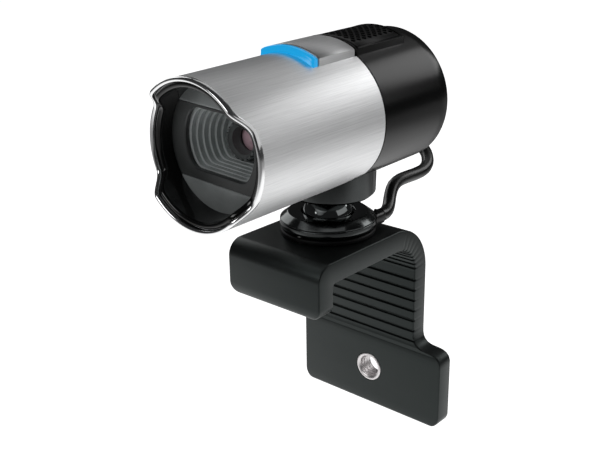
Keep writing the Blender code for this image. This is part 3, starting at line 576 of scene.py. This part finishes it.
def add_cord():
    points = cord_route() + wound_turns()
    length = sum((q - p).length for p, q in zip(points, points[1:])) * MM
    curve = bpy.data.curves.new("usb_cable", "CURVE")
    curve.dimensions = "3D"
    curve.bevel_depth = CORD_D / 2 * MM
    curve.bevel_resolution = 5
    curve.use_fill_caps = True
    spline = curve.splines.new("POLY")
    spline.points.add(len(points) - 1)
    for slot, point in zip(spline.points, points):
        slot.co = (*(point * MM), 1.0)
    spline.use_smooth = True
    curve.materials.append(M["cord"])
    obj = show(bpy.data.objects.new("usb_cable", curve))
    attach(obj, "mount")
    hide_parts("cable", "cable_coil")
    return obj, points[0] * MM, length


def add_tie():
    """Band round the wound turns on one side of the coil."""
    outer, inner = COIL_MEAN + 1.5 * CORD_D + 2.6, COIL_MEAN - 1.5 * CORD_D - 0.2
    half_w, middle = 2.5 * CORD_D + 0.2, (outer + inner) / 2
    corners = [(outer, half_w), (inner, half_w), (inner, -half_w), (outer, -half_w)]
    loops = []
    for off, grow in fillet([(-2.0, 0.35), (2.0, 0.35), (2.0, 1.2), (-2.0, 1.2)], 0.25, 3):
        grown = [(r + math.copysign(grow, r - middle), w + math.copysign(grow, w)) for r, w in corners]
        loops.append([coil_point(COIL_F + off, COIL_LAT + w, COIL_Z + r) for r, w in fillet(grown, 1.6, 4)])
    return finish("coil_wrap", skin(loops, True), WORLD, M["satin"], "mount", "coil_tie")


def add_plug():
    """Ribbed relief, moulded grip and the metal plug, hanging beside the coil."""
    far = COIL_F + COIL_MEAN + CORD_D

    def hang(radius, z, angle):
        return coil_point(far + radius * math.cos(angle), COIL_LAT + radius * math.sin(angle), z)

    profile = [(0.02, PLUG_TOP), (2.0, PLUG_TOP)]
    for k in range(6):
        z = PLUG_TOP - 0.9 - 1.3 * k
        ridge = 2.05 + 0.12 * k
        profile += [(ridge, z), (ridge, z - 0.55), (ridge - 0.2, z - 0.65), (ridge - 0.2, z - 1.2)]
    profile += [(2.9, PLUG_TOP - 9.0), (0.02, PLUG_TOP - 9.0)]
    boot = finish("plug_relief", turned(profile, hang, False, 32), WORLD, M["cord"], "mount", "plug_boot")

    loops = []
    for below, shrink in (
        (19.0, 0.8),
        (18.7, 0.3),
        (18.2, 0.0),
        (12.0, 0.0),
        (10.8, 0.35),
        (4.5, 0.35),
        (3.3, 0.0),
        (0.9, 0.0),
        (0.3, 0.35),
        (0.0, 1.0),
    ):
        loop = []
        for i in range(64):
            c, s = rounded(TAU * (i + 0.5) / 64, 0.3)
            spot = coil_point(far + s * (4.0 - shrink), COIL_LAT + c * (7.9 - shrink), PLUG_TOP - 9.3 - below)
            loop.append(spot)
        loops.append(loop)
    body = finish("plug_grip", skin(loops, False), WORLD, M["satin"], "mount", "plug_body")
    return [boot, body, frame["nodes"]["plug_shell"], frame["nodes"]["plug_tongue"]]


cord, cord_exit, cord_length = add_cord()
tie = add_tie()
plug_pieces = add_plug()


# Clip -----------------------------------------------------------------------------------------


def ribbon(stations, edge=0.5, steps=3):
    """Rubber-covered strip from stations of outer point, inner point and half width."""
    loops = []
    for outer, inner, half in stations:
        outer = Vector((0.0, *outer))
        inner = Vector((0.0, *inner))
        across = (inner - outer).normalized()
        thick = (inner - outer).length
        e = min(edge, half * 0.5, thick * 0.4)
        loop = []
        for sx, depth_first in ((1, True), (-1, False)):
            corners = [(0.0, 1.0), (thick, -1.0)] if depth_first else [(thick, -1.0), (0.0, 1.0)]
            for depth, inward in corners:
                arc = []
                for k in range(steps + 1):
                    a = math.pi / 2 * k / steps
                    x = half - e * (1 - math.sin(a))
                    d = depth + inward * e * (1 - math.cos(a))
                    arc.append((sx * x, d))
                if (sx > 0) != (inward > 0):
                    arc.reverse()
                loop += arc
        loops.append([outer + across * d + Vector((x, 0.0, 0.0)) for x, d in loop])
    return skin(loops, closed=False)


def groove(distance):
    """Depth of a grip groove at a distance from its middle: a rounded channel."""
    t = abs(distance) / GROOVE_HALF
    return GROOVE_DEPTH * math.sqrt(max(0.0, 1 - t * t)) if t < 1 else 0.0


def clip_stations():
    """From the tip of the front lip, over the plate and round the rear bend with its fine grooves."""
    found = []
    inner_y = FRONT_Y + LIP_T
    for k in range(13):
        a = math.pi / 2 * k / 12
        z = -LIP_DROP + LIP_CORNER * (1 - math.cos(a))
        half = STRIP_HALF - LIP_CORNER * (1 - math.sin(a))
        ease = END_ROUND * (1 - math.sin(a))
        found.append(((FRONT_Y + ease, z), (inner_y - ease, z), half))
    found.append(((FRONT_Y, -3.5), (inner_y, -3.5), STRIP_HALF))
    found.append(((FRONT_Y, -1.3), (inner_y, -1.3), STRIP_HALF))
    for k in range(17):
        a = math.pi / 2 * k / 16
        outer = (
            FRONT_Y + FRONT_BEND * (1 - math.cos(a)),
            STRIP_T - FRONT_BEND + FRONT_BEND * math.sin(a),
        )
        inner = (inner_y + 1.0 - math.cos(a), -1.0 + math.sin(a))
        found.append((outer, inner, STRIP_HALF))
    for y in (-12.0, -6.0, 0.0, 5.0, BEND_Y):
        found.append(((y, STRIP_T), (y, 0.0), STRIP_HALF))
    inner_r = REAR_BEND - LEG_T
    fine = [math.radians(7.0 + 9.0 * k) for k in range(8)]
    for k in range(1, 150):
        angle = math.pi / 2 * (1 - k / 150)
        depth = max(0.8 * groove((angle - g) * inner_r * 1.25) for g in fine)
        swell = (STRIP_T - LEG_T) * angle / (math.pi / 2)
        c, s = math.cos(angle), math.sin(angle)
        radius = inner_r + depth - swell
        outer = (BEND_Y + REAR_BEND * c, BEND_Z + REAR_BEND * s)
        found.append((outer, (BEND_Y + radius * c, BEND_Z + radius * s), STRIP_HALF))
    return found


def leg_half(z):
    """Half width of the leg: straight, then S-shaped shoulders out to the foot, then round corners."""
    knots = [
        (-27.0, 15.66),
        (-28.5, 15.70),
        (-29.8, 16.0),
        (-30.8, 16.6),
        (-31.5, 17.5),
        (-31.9, 18.7),
        (-32.05, 20.0),
        (-32.15, 21.6),
        (-32.35, 22.8),
        (-32.8, 23.8),
        (-33.6, 24.6),
        (-34.8, FOOT_HALF),
    ]
    if z >= knots[0][0]:
        return STRIP_HALF
    for (z1, h1), (z0, h0) in zip(knots, knots[1:]):
        if z >= z0:
            return h1 + (h0 - h1) * (z - z1) / (z0 - z1)
    rise = z - FOOT_BOTTOM
    if rise < FOOT_CORNER:
        t = 1 - rise / FOOT_CORNER
        return FOOT_HALF - FOOT_CORNER * (1 - math.sqrt(max(0.0, 1 - t * t)))
    return FOOT_HALF


def leg_stations():
    """Down the leg: close rows over the grooves, then the shoulders and the round corners of the foot."""
    rows = set()
    z = BEND_Z
    while z > -28.0:
        rows.add(round(z, 3))
        z -= 0.14
    rows |= {-28.5, -29.3, -29.6, -29.75, -29.9, -30.2, -30.8, -31.2, -31.5, -31.7, -31.9, -32.0, -32.05}
    rows |= {-32.1, -32.15, -32.25, -32.35, -32.55, -32.8, -33.2, -33.6, -34.2, -34.8, -36.0, -45.0}
    rows |= {round(FOOT_BOTTOM + FOOT_CORNER * (1 - math.sin(math.pi / 2 * k / 12)), 3) for k in range(13)}
    grooves = [GROOVE_Z + GROOVE_PITCH * k for k in range(8)]
    found = []
    for z in sorted(rows, reverse=True):
        depth = max(groove(z - g) for g in grooves) if z > -31 else 0.0
        ease = 0.0
        if z < FOOT_BOTTOM + END_ROUND:
            ease = END_ROUND * (1 - math.sqrt(max(0.0, 1 - (1 - (z - FOOT_BOTTOM) / END_ROUND) ** 2)))
        found.append(((REAR_Y - ease, z), (REAR_Y - LEG_T + depth + ease, z), leg_half(z)))
    return found


def screw_spots():
    """Three places on a ring, the first towards the front."""
    angles = [math.radians(-90 + 120 * k) for k in range(3)]
    return [(SCREW_RING * math.cos(a), SCREW_RING * math.sin(a)) for a in angles]


def add_clip():
    bm = ribbon(clip_stations() + leg_stations())
    cutters = [turned([(INSERT_R + 0.08, 15.0), (INSERT_R + 0.08, 30.0)], along_y(0.0, HOLE_Z), False, 96)]
    for cx, cy in screw_spots():
        cutters.append(turned([(SCREW_WELL, -1.0), (SCREW_WELL, 2.3)], upright(cx, cy), False, 48))
    nodes = ("clip_plate", "bend_web", "rear_leg")
    obj = finish("clip_rubber_skin", carve(bm, cutters), WORLD, M["rubber"], None, *nodes, smooth=28)
    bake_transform(obj)


def add_insert():
    """Metal insert in the foot, with a spiral thread in its bore."""
    place = along_y(0.0, HOLE_Z)
    front, back = REAR_Y - LEG_T - 0.12, REAR_Y - 0.12
    segments, steps_per_turn = 64, 8
    threaded = back - front - 1.0
    count = int(threaded / THREAD_PITCH * steps_per_turn)
    lead_in = [(INSERT_R, 0.25), (INSERT_R - 0.25, 0.0), (INSERT_BORE + 0.5, 0.0), (INSERT_BORE + 0.12, 0.4)]
    rows = []
    for i in range(segments):
        a = TAU * i / segments
        column = [place(r, front + y, a) for r, y in lead_in]
        for k in range(count + 1):
            y = front + 0.5 + threaded * k / count
            phase = ((y - front) / THREAD_PITCH - i / segments) % 1.0
            column.append(place(INSERT_BORE - THREAD_DEPTH * (1 - abs(2 * phase - 1)) + 0.1, y, a))
        column += [place(r, back - y, a) for r, y in reversed(lead_in)]
        rows.append(column)
    finish("tripod_thread", skin(rows, True), WORLD, M["nickel"], "leg", "tripod_insert", smooth=50)


def add_screws():
    """Cross-headed screws that hold the collar from below."""
    profile = [(0.02, 0.75), (1.6, 0.7), (2.0, 0.95), (2.0, 1.95), (0.95, 2.0), (0.95, 9.0), (0.02, 9.0)]
    for k, (cx, cy) in enumerate(screw_spots(), 1):
        bm = turned(fillet(profile, 0.2, 3, False), upright(cx, cy), False, 48)
        cross = [
            box(cx - 1.15, cx + 1.15, cy - 0.22, cy + 0.22, 0.0, 1.5),
            box(cx - 0.22, cx + 0.22, cy - 1.15, cy + 1.15, 0.0, 1.5),
        ]
        finish(f"screw_{k}", carve(bm, cross), WORLD, M["steel"], "mount", f"clip_screw_{k}")


# Collar and neck ------------------------------------------------------------------------------


def add_collar():
    """Disc on the plate, then the two turned halves of the collar."""
    z0, top = FLANGE_Z, FLANGE_Z + 1.4
    disc = [(9.4, z0), (12.8, z0), (12.8, z0 + 0.85), (12.45, z0 + 1.15), (9.4, z0 + 1.15)]
    cup = [(9.55, top), (11.7, top), (12.55, top + 0.25), (COLLAR_R, top + 0.95)]
    cup += [(COLLAR_R - 0.05, CUP_TOP), (9.55, CUP_TOP)]
    cap = [
        (9.15, CAP_BOTTOM),
        (COLLAR_R - 0.05, CAP_BOTTOM),
        (COLLAR_R - 0.12, CAP_BOTTOM + 0.25),
        (COLLAR_TOP_R + 0.05, COLLAR_TOP - 0.08),
        (COLLAR_TOP_R - 0.15, COLLAR_TOP),
        (COLLAR_HOLE_R, COLLAR_TOP),
        (COLLAR_HOLE_R, 11.0),
        (9.15, 11.0),
    ]
    for name, node, profile, radius, mat in (
        ("flange", "flange_disc", disc, 0.22, "matte"),
        ("collar_lower", "collar_cup", cup, 0.3, "collar"),
        ("collar_upper", "collar_cap", cap, 0.16, "collar"),
    ):
        finish(name, turned(fillet(profile, radius), upright()), WORLD, M[mat], "mount", node)


def add_ball():
    """Chromed ball, cut flat under the collar."""
    angles = [math.radians(-64 + 154 * k / 64) for k in range(65)]
    profile = [(max(BALL_R * math.cos(a), 0.01), BALL_Z + BALL_R * math.sin(a)) for a in angles]
    profile.insert(0, (0.01, profile[0][1]))
    finish("ball_skin", turned(profile, upright(), False), WORLD, M["ball"], "ball_body", "ball", smooth=30)


def add_gland():
    """Boss at the back of the collar, where the cord leaves."""
    loops = []
    for y, half, low, high in (
        (6.2, GLAND_HALF, 7.2, 10.9),
        (GLAND_TIP - 1.1, GLAND_HALF, 7.2, 10.9),
        (GLAND_TIP - 0.5, GLAND_HALF - 0.07, 7.25, 10.85),
        (GLAND_TIP - 0.15, GLAND_HALF - 0.25, 7.38, 10.72),
        (GLAND_TIP, GLAND_HALF - 0.43, 7.5, 10.6),
    ):
        loop = []
        for i in range(48):
            c, s = rounded(TAU * i / 48, 0.65)
            loop.append(Vector((GLAND_X + c * half, y, (low + high) / 2 + s * (high - low) / 2)))
        loops.append(loop)
    room = turned([(COLLAR_R + 0.1, 5.0), (COLLAR_R + 0.1, 20.0)], upright(), False)
    finish("cable_exit", carve(skin(loops, False), [room]), WORLD, M["satin"], "mount", "cable_gland")


def add_neck():
    """Cup-shaped neck in two halves, hollowed above for the round head."""
    outer = [(3.6, NECK_BOTTOM), (NECK_R - 0.75, NECK_BOTTOM), (NECK_R, NECK_BOTTOM + 0.75), (NECK_R, AXIS_H)]
    inner = [(NECK_IN, AXIS_H), (NECK_IN, NECK_BOTTOM + 1.5), (3.6, NECK_BOTTOM + 1.5)]
    for name, node, y0, y1 in (
        ("neck_front_half", "neck_front", NECK_SPLIT - 0.06, 40.0),
        ("neck_rear_half", "neck_rear", -40.0, NECK_SPLIT + 0.06),
    ):
        bm = turned(fillet(outer + inner, 0.18), upright())
        saddle = turned([(HEAD_R + 0.12, -60.0), (HEAD_R + 0.12, 60.0)], along_head(), False, 160)
        finish(name, carve(bm, [saddle, box(-40, 40, y0, y1, -5, 60)]), HEAD, M["neck"], "head", node)


# Hood -----------------------------------------------------------------------------------------


def petal_length(angle):
    """Length of the hood round the head: long at the top and bottom, short at the sides, with soft steps."""
    fold = abs(math.degrees(math.atan2(math.sin(angle), math.cos(angle))))
    fold = min(fold, 180.0 - fold)
    t = max(-1.0, min(1.0, (fold - PETAL_ANGLE) / PETAL_BLEND))
    return PETAL_SHORT + (PETAL_LONG - PETAL_SHORT) * (0.5 + 0.5 * math.sin(t * math.pi / 2))


def hood(profile, segments=288):
    """Tube whose front follows the petals. Rows are radius, length or None, and drop from the front."""
    place = along_head()
    angles = [TAU * i / segments for i in range(segments)]
    loops = []
    for radius, length, drop in profile:
        lengths = [petal_length(a) - drop if length is None else length for a in angles]
        loops.append([place(radius, at, a) for at, a in zip(lengths, angles)])
    return skin(loops, closed=True)


def add_hood():
    """Brushed sleeve, its polished rim and the glossy lining."""
    r_in, rf_in = HEAD_R - WALL, HEAD_R_FRONT - WALL

    def taper(length):
        return HEAD_R + (HEAD_R_FRONT - HEAD_R) * length / PETAL_SHORT

    sleeve = [(taper(v), v, 0.0) for v in (0.3, 6.0, 12.0, 18.0, 24.0, 30.0, 36.0)]
    sleeve += [(HEAD_R_FRONT, None, 1.35), (HEAD_R_FRONT - 0.4, None, 1.35), (rf_in, None, 1.5)]
    sleeve += [(rf_in, 20.0, 0.0), (r_in, 0.15, 0.0), (HEAD_R - 0.2, 0.12, 0.0)]
    slot = box(-BAR_HALF - 0.08, BAR_HALF + 0.08, -SEAM - LIGHT_FRONT - 0.08, 20.0, AXIS_H + 4, AXIS_H + 30)
    bm = carve(hood(sleeve), [slot])
    finish("sleeve_brushed", bm, HEAD, M["sleeve"], "head", "front_sleeve", smooth=30)

    rim = [
        (HEAD_R_FRONT + 0.03, None, 1.33),
        (HEAD_R_FRONT + 0.05, None, 0.75),
        (HEAD_R_FRONT - 0.05, None, 0.28),
        (HEAD_R_FRONT - 0.3, None, 0.04),
        (HEAD_R_FRONT - 0.62, None, 0.06),
        (HEAD_R_FRONT - 0.9, None, 0.22),
        (rf_in + 0.02, None, 0.45),
        (rf_in + 0.02, None, 1.33),
    ]
    finish("sleeve_rim", hood(rim), HEAD, M["rim"], "head", smooth=70)

    liner = [
        (rf_in - 0.12, 30.0, 0.0),
        (rf_in - 0.12, None, 1.3),
        (rf_in - 0.22, None, 1.05),
        (rf_in - 0.45, None, 0.95),
        (LINER_IN + 0.5, None, 1.0),
        (LINER_IN + 0.22, None, 1.12),
        (LINER_IN + 0.04, None, 1.4),
        (LINER_IN, None, 1.9),
        (LINER_IN, FACE_L + 0.2, 0.0),
        (LINER_IN + 0.8, FACE_L + 0.2, 0.0),
        (LINER_IN + 0.8, 30.0, 0.0),
    ]
    finish("hood_lining", hood(liner), HEAD, M["gloss"], "head", "hood_liner", smooth=40)


def window(radius, half, length, rise=0.0, easing=2, steps=16):
    """Circle cut flat at the top and bottom, its corners eased; rise lifts it off the axis."""
    a0 = math.asin(min(0.999, half / radius))
    span = radius * math.cos(a0)
    right = [-a0 + 2 * a0 * k / steps for k in range(steps + 1)]
    level = [span - 2 * span * k / steps for k in range(1, steps)]
    outline = [(radius * math.cos(a), radius * math.sin(a)) for a in right]
    outline += [(x, half) for x in level]
    outline += [(radius * math.cos(math.pi + a), radius * math.sin(math.pi + a)) for a in right]
    outline += [(-x, -half) for x in level]
    for repeat in range(easing):
        ahead = outline[1:] + outline[:1]
        behind = outline[-1:] + outline[:-1]
        outline = [
            (0.5 * p[0] + 0.25 * (a[0] + b[0]), 0.5 * p[1] + 0.25 * (a[1] + b[1]))
            for a, p, b in zip(behind, outline, ahead)
        ]
    return [Vector((x, -SEAM - length, AXIS_H + rise + z)) for x, z in outline]


def add_face():
    """Face plate round the window, with a raised segment above it and one below."""
    plate_r = LINER_IN + 0.5
    front, back = FACE_L, FACE_L - FACE_T
    loops = [
        window(plate_r, 8.95, front, easing=0),
        window(WINDOW_R + 0.25, WINDOW_HALF + 0.17, front, WINDOW_RISE),
        window(WINDOW_R, WINDOW_HALF, front - 0.25, WINDOW_RISE),
        window(WINDOW_R, WINDOW_HALF, back, WINDOW_RISE),
        window(plate_r, 8.95, back, easing=0),
    ]
    finish("face_plate", skin(loops, True), HEAD, M["face"], "head", "face_frame", smooth=25)
    for side, sign in (("top", 1), ("bottom", -1)):
        loops = []
        for length, inset in ((front + 0.15, 0.25), (front - 0.05, 0.0), (back, 0.0)):
            r = plate_r - inset
            limit = math.asin((9.1 + inset) / r)
            arc = [limit + (math.pi - 2 * limit) * i / 48 for i in range(49)]
            y = -SEAM - length
            loops.append([Vector((r * math.cos(a), y, AXIS_H + sign * r * math.sin(a))) for a in arc])
        bm = skin(loops, False)
        finish("face_" + side, bm, HEAD, M["segment"], "head", "face_blank_" + side, smooth=40)


def add_funnel():
    """Stepped ribs that shrink from the window to the lens."""
    start = FACE_L - FACE_T - 0.2
    loops = [window(12.6, 9.4, start)]
    for i in range(1, RIBS + 1):
        radius = WINDOW_R - RIB_STEP_R * i
        half = WINDOW_HALF - 0.05 - RIB_STEP_HALF * i
        rise = WINDOW_RISE * (1 - i / RIBS)
        level = start - RIB_DEPTH * (i - 1)
        loops.append(window(radius + 0.1, half + 0.1, level, rise))
        loops.append(window(radius, half, level - 0.12, rise))
        loops.append(window(radius, half, level - RIB_DEPTH, rise))
    floor = start - RIB_DEPTH * RIBS
    loops += [window(5.35, 5.3, floor), window(5.35, 5.3, floor - 1.0), window(12.6, 9.4, floor - 1.0)]
    finish("stepped_funnel", skin(loops, True), HEAD, M["rib"], "head", "rib_funnel", smooth=25)


def add_lens():
    """Barrel with a scalloped front ring, and the coated front glass, whose pink colour is a painted glint.
    """
    place = along_head()
    angles = [TAU * i / 240 for i in range(240)]
    loops = []
    for radius, length, scalloped in (
        (BARREL_R, 21.5, False),
        (BARREL_R, 30.2, False),
        (BARREL_R, 30.6, True),
        (BARREL_R, 31.7, True),
        (4.55, 32.1, True),
        (4.15, 32.1, False),
        (3.95, 31.75, False),
        (3.4, 31.3, False),
        (3.3, 30.2, False),
        (3.15, 29.6, False),
        (2.95, 29.35, False),
        (2.95, 28.9, False),
        (3.4, 28.8, False),
        (3.4, 21.5, False),
    ):
        dips = [SCALLOP_DEPTH if scalloped and math.cos(SCALLOPS * a) > 0.25 else 0.0 for a in angles]
        loops.append([place(radius - dip, length, a) for dip, a in zip(dips, angles)])
    finish("focus_barrel", skin(loops, True), HEAD, M["barrel"], "focus", "lens_barrel", smooth=30)
    radii = [GLASS_R * k / 24 for k in range(25)]
    glass = [(max(r, 0.01), 29.15 - 0.085 * r * r) for r in radii] + [(GLASS_R, 27.3), (0.01, 27.0)]
    finish("focus_lens", turned(glass, place, False, 96), HEAD, M["glass"], "focus", "lens_glass", smooth=40)


# Rear housing and top bar ---------------------------------------------------------------------


def bar_block(inner, outer, front, back, half, edge=0.35, steps=24):
    """Arched block over the head with eased edges."""
    top = math.asin(half / outer)
    low = math.asin(half / inner)
    over = [math.pi / 2 - top + 2 * top * i / steps for i in range(steps + 1)]
    back_again = [math.pi / 2 + low - 2 * low * i / steps for i in range(steps + 1)]
    arc = [(outer * math.cos(a), outer * math.sin(a)) for a in over]
    under = [(inner * math.cos(a), inner * math.sin(a)) for a in back_again]
    loops = []
    for length, inset in (
        (front, edge),
        (front - 0.3 * edge, 0.3 * edge),
        (front - edge, 0.0),
        (back + edge, 0.0),
        (back + 0.3 * edge, 0.3 * edge),
        (back, edge),
    ):
        outline = []
        for x, z in arc:
            r = math.hypot(x, z)
            k = (r - inset) / r
            ease = edge * max(0.0, (abs(x) - (half - edge)) / edge)
            outline.append((x * k * (1 - inset / (half * 1.4)), z * k - 0.6 * ease * ease))
        outline += under
        loops.append([Vector((x, -SEAM - length, AXIS_H + z)) for x, z in outline])
    return skin(loops, closed=False)


def add_rear():
    """Round rear housing with the arched bar on top, and the cap behind."""
    place = along_head()
    tube = [(HEAD_R, at) for at in (-0.15, -6.0, -12.0, -18.0, -24.0)]
    tube += [
        (HEAD_R, -REAR_L + 0.45),
        (HEAD_R - 0.14, -REAR_L + 0.14),
        (HEAD_R - 0.45, -REAR_L),
        (16.1, -REAR_L),
        (16.1, -REAR_L + 2.0),
        (16.5, -REAR_L + 2.0),
        (16.5, -0.15),
    ]
    bar = bar_block(17.0, BAR_R, -0.15, -GRILLE_BACK, BAR_HALF, 0.5)
    pocket = bar_block(12.0, 25.0, -1.0, -GRILLE_BACK + 0.9, BAR_HALF - 0.75, 0.05)
    bm = carve(turned(tube, place, True, 192), [bar], "UNION")
    finish("housing_shell", carve(bm, [pocket]), HEAD, M["housing"], "head", "rear_housing", smooth=30)
    cap = [
        (0.02, -REAR_L + 1.7),
        (15.9, -REAR_L + 1.7),
        (15.9, -REAR_L + 0.1),
        (15.2, -REAR_L - 0.05),
        (8.0, -REAR_L - 0.12),
        (0.02, -REAR_L - 0.15),
    ]
    bm = turned(fillet(cap, 0.3, 4, False), place, False)
    finish("housing_cap", bm, HEAD, M["housing"], "head", "rear_cap")


def perforation_tree(paint_with):
    """Geometry Nodes: two grids, the second half a pitch off, with a square hole standing on each point."""
    tree = bpy.data.node_groups.new("perforations", "GeometryNodeTree")
    tree.interface.new_socket("Geometry", in_out="OUTPUT", socket_type="NodeSocketGeometry")
    sockets = {}
    for label, kind in (("Rows", "Int"), ("Columns", "Int"), ("Pitch", "Float"), ("Hole Radius", "Float")):
        made = tree.interface.new_socket(label, in_out="INPUT", socket_type="NodeSocket" + kind)
        sockets[label] = made.identifier
    link = tree.links.new
    entry = add(tree, "NodeGroupInput").outputs
    leave = add(tree, "NodeGroupOutput").inputs
    join = add(tree, "GeometryNodeJoinGeometry")
    for fewer in (0.0, 1.0):
        grid = add(tree, "GeometryNodeMeshGrid")
        for label, axis in (("Columns", "X"), ("Rows", "Y")):
            count = arithmetic(tree, "SUBTRACT", entry[label], fewer)
            gaps = arithmetic(tree, "SUBTRACT", count, 1.0)
            link(count, grid.inputs["Vertices " + axis])
            link(arithmetic(tree, "MULTIPLY", gaps, entry["Pitch"]), grid.inputs["Size " + axis])
        link(grid.outputs["Mesh"], join.inputs["Geometry"])
    cone = add(tree, "GeometryNodeMeshCone", Vertices=4, Depth=3.0)
    for label in ("Radius Top", "Radius Bottom"):
        link(entry["Hole Radius"], cone.inputs[label])
    place = add(tree, "GeometryNodeInstanceOnPoints")
    real = add(tree, "GeometryNodeRealizeInstances")
    paint = add(tree, "GeometryNodeSetMaterial", Material=paint_with)
    link(join.outputs["Geometry"], place.inputs["Points"])
    link(cone.outputs["Mesh"], place.inputs["Instance"])
    link(place.outputs["Instances"], real.inputs["Geometry"])
    link(real.outputs["Geometry"], paint.inputs["Geometry"])
    link(paint.outputs["Geometry"], leave["Geometry"])
    return tree, sockets


def grille_holes():
    """Diamond perforations in staggered rows, bent round the head."""
    tree, sockets = perforation_tree(M["chip"])
    holder = show(bpy.data.objects.new("holder", bpy.data.meshes.new("holder")))
    mod = holder.modifiers.new("layout", "NODES")
    mod.node_group = tree
    for label, value in (("Rows", 8), ("Columns", 6), ("Pitch", 2.2), ("Hole Radius", 0.80)):
        mod[sockets[label]] = value
    graph = bpy.context.evaluated_depsgraph_get()
    graph.update()
    made = bmesh.new()
    made.from_object(holder, graph)
    bpy.data.objects.remove(holder, do_unlink=True)
    centre_y = -SEAM + 10.0
    for vert in made.verts:
        x, y, z = vert.co
        a = x / BAR_R
        r = BAR_R - 0.6 + z
        vert.co = Vector((r * math.sin(a), centre_y + y, AXIS_H + r * math.cos(a)))
    return made


def add_bar():
    """Microphone grille, light strip and call button along the top."""
    plate = bar_block(17.6, BAR_R - 0.12, -1.15, -GRILLE_BACK + 1.05, BAR_HALF - 0.9, 0.25)
    finish("grille", carve(plate, [grille_holes()]), HEAD, M["satin"], "head", "mic_grille", smooth=30)
    light = bar_block(16.2, BAR_R, LIGHT_FRONT, LIGHT_BACK, BAR_HALF, 0.5)
    finish("light_strip", light, HEAD, M["blue"], "head", "light_bar", smooth=50)
    button = bar_block(17.4, BAR_R, LIGHT_BACK - 0.14, BUTTON_BACK, BAR_HALF, 0.45)
    finish("button_cap", button, HEAD, M["button"], "button", "call_button", smooth=50)


add_clip()
add_insert()
add_screws()
add_collar()
add_ball()
add_gland()
add_neck()
add_hood()
add_face()
add_funnel()
add_lens()
add_rear()
add_bar()

# Frame nodes that stay as they are: their slots and the materials that they get.
CARRIED = {
    "steel": "steel",
    "nylon": "nylon",
    "satin_black": "satin",
    "gloss_black": "gloss",
    "circuit_board": "pcb",
    "chip": "chip",
    "coil_copper": "copper",
    "cord_pvc": "cord",
    "plug_tongue_plastic": "tongue",
    "face_grey": "face",
}
for node_name, node in frame["nodes"].items():
    if not node.hide_render and SLOTS[node_name] in CARRIED:
        node.data.materials.clear()
        node.data.materials.append(M[CARRIED[SLOTS[node_name]]])


# Studio ---------------------------------------------------------------------------------------


def add_floor():
    """Pale floor: bright to look at, and in mirror images dimmer far out, behind and at the front right."""
    mesh = bpy.data.meshes.new("floor")
    corners = [(x, y, -0.12) for x, y in ((-6.0, -6.0), (6.0, -6.0), (6.0, 6.0), (-6.0, 6.0))]
    mesh.from_pydata(corners, [], [(0, 1, 2, 3)])
    mat, tree, shader = new_material("pale_floor", (0.80, 0.80, 0.80), 0.9, Specular_IOR_Level=0.0)
    shader.inputs["Emission Color"].default_value = (1.0, 1.0, 1.0, 1.0)
    coords = add(tree, "ShaderNodeTexCoord").outputs["Object"]
    reach = add(tree, "ShaderNodeVectorMath", operation="LENGTH")
    tree.links.new(coords, reach.inputs[0])
    glow = add_fade(tree, reach.outputs["Value"], "SMOOTHERSTEP", 0.20, 0.62, 0.90, 0.02)
    for direction, start, end, rest in (
        ((-0.5, 0.87, 0.0), 0.14, 0.25, 0.12),
        ((0.66, -0.75, 0.0), 0.10, 0.30, 0.04),
    ):
        side = add(tree, "ShaderNodeVectorMath", operation="DOT_PRODUCT")
        side.inputs[1].default_value = direction
        tree.links.new(coords, side.inputs[0])
        shade = add_fade(tree, side.outputs["Value"], "SMOOTHSTEP", start, end, 1.0, rest)
        glow = arithmetic(tree, "MULTIPLY", glow, shade)
    seen = add(tree, "ShaderNodeLightPath").outputs["Is Camera Ray"]
    tree.links.new(arithmetic(tree, "MAXIMUM", glow, seen), shader.inputs["Emission Strength"])
    mesh.materials.append(mat)
    show(bpy.data.objects.new("floor", mesh))


def add_card(name, azimuth, elevation, width, height, radiance):
    """Soft box one metre away; azimuth runs from the front towards the right side."""
    data = bpy.data.lights.new(name, "AREA")
    data.shape = "RECTANGLE"
    data.size, data.size_y = width, height
    data.energy = math.pi * width * height * radiance
    obj = show(bpy.data.objects.new(name, data))
    az, el = math.radians(azimuth), math.radians(elevation)
    away = Vector((math.sin(az) * math.cos(el), -math.cos(az) * math.cos(el), math.sin(el)))
    obj.location = away + Vector((0.0, 0.0, 0.03))
    obj.rotation_euler = (-away).to_track_quat("-Z", "Y").to_euler()


def add_studio():
    """Dim world and five soft boxes."""
    world = bpy.data.worlds.new("studio")
    bpy.context.scene.world = world
    world.use_nodes = True
    sky = world.node_tree.nodes["Background"]
    sky.inputs["Color"].default_value = (0.97, 0.98, 1.0, 1.0)
    sky.inputs["Strength"].default_value = 0.03
    add_card("card_right_rear", 160.0, 28.0, 0.44, 0.44, 2.3)
    add_card("card_right", 114.0, 22.0, 1.10, 0.55, 0.55)
    add_card("card_front", -8.0, 23.0, 0.50, 0.34, 3.4)
    add_card("card_left", -108.0, 22.0, 0.60, 0.50, 1.3)
    add_card("card_high_rear", -155.0, 46.0, 0.80, 0.34, 0.42)
    bpy.context.scene.view_settings.view_transform = "Standard"
    bpy.context.scene.view_settings.look = "None"


add_floor()
add_studio()
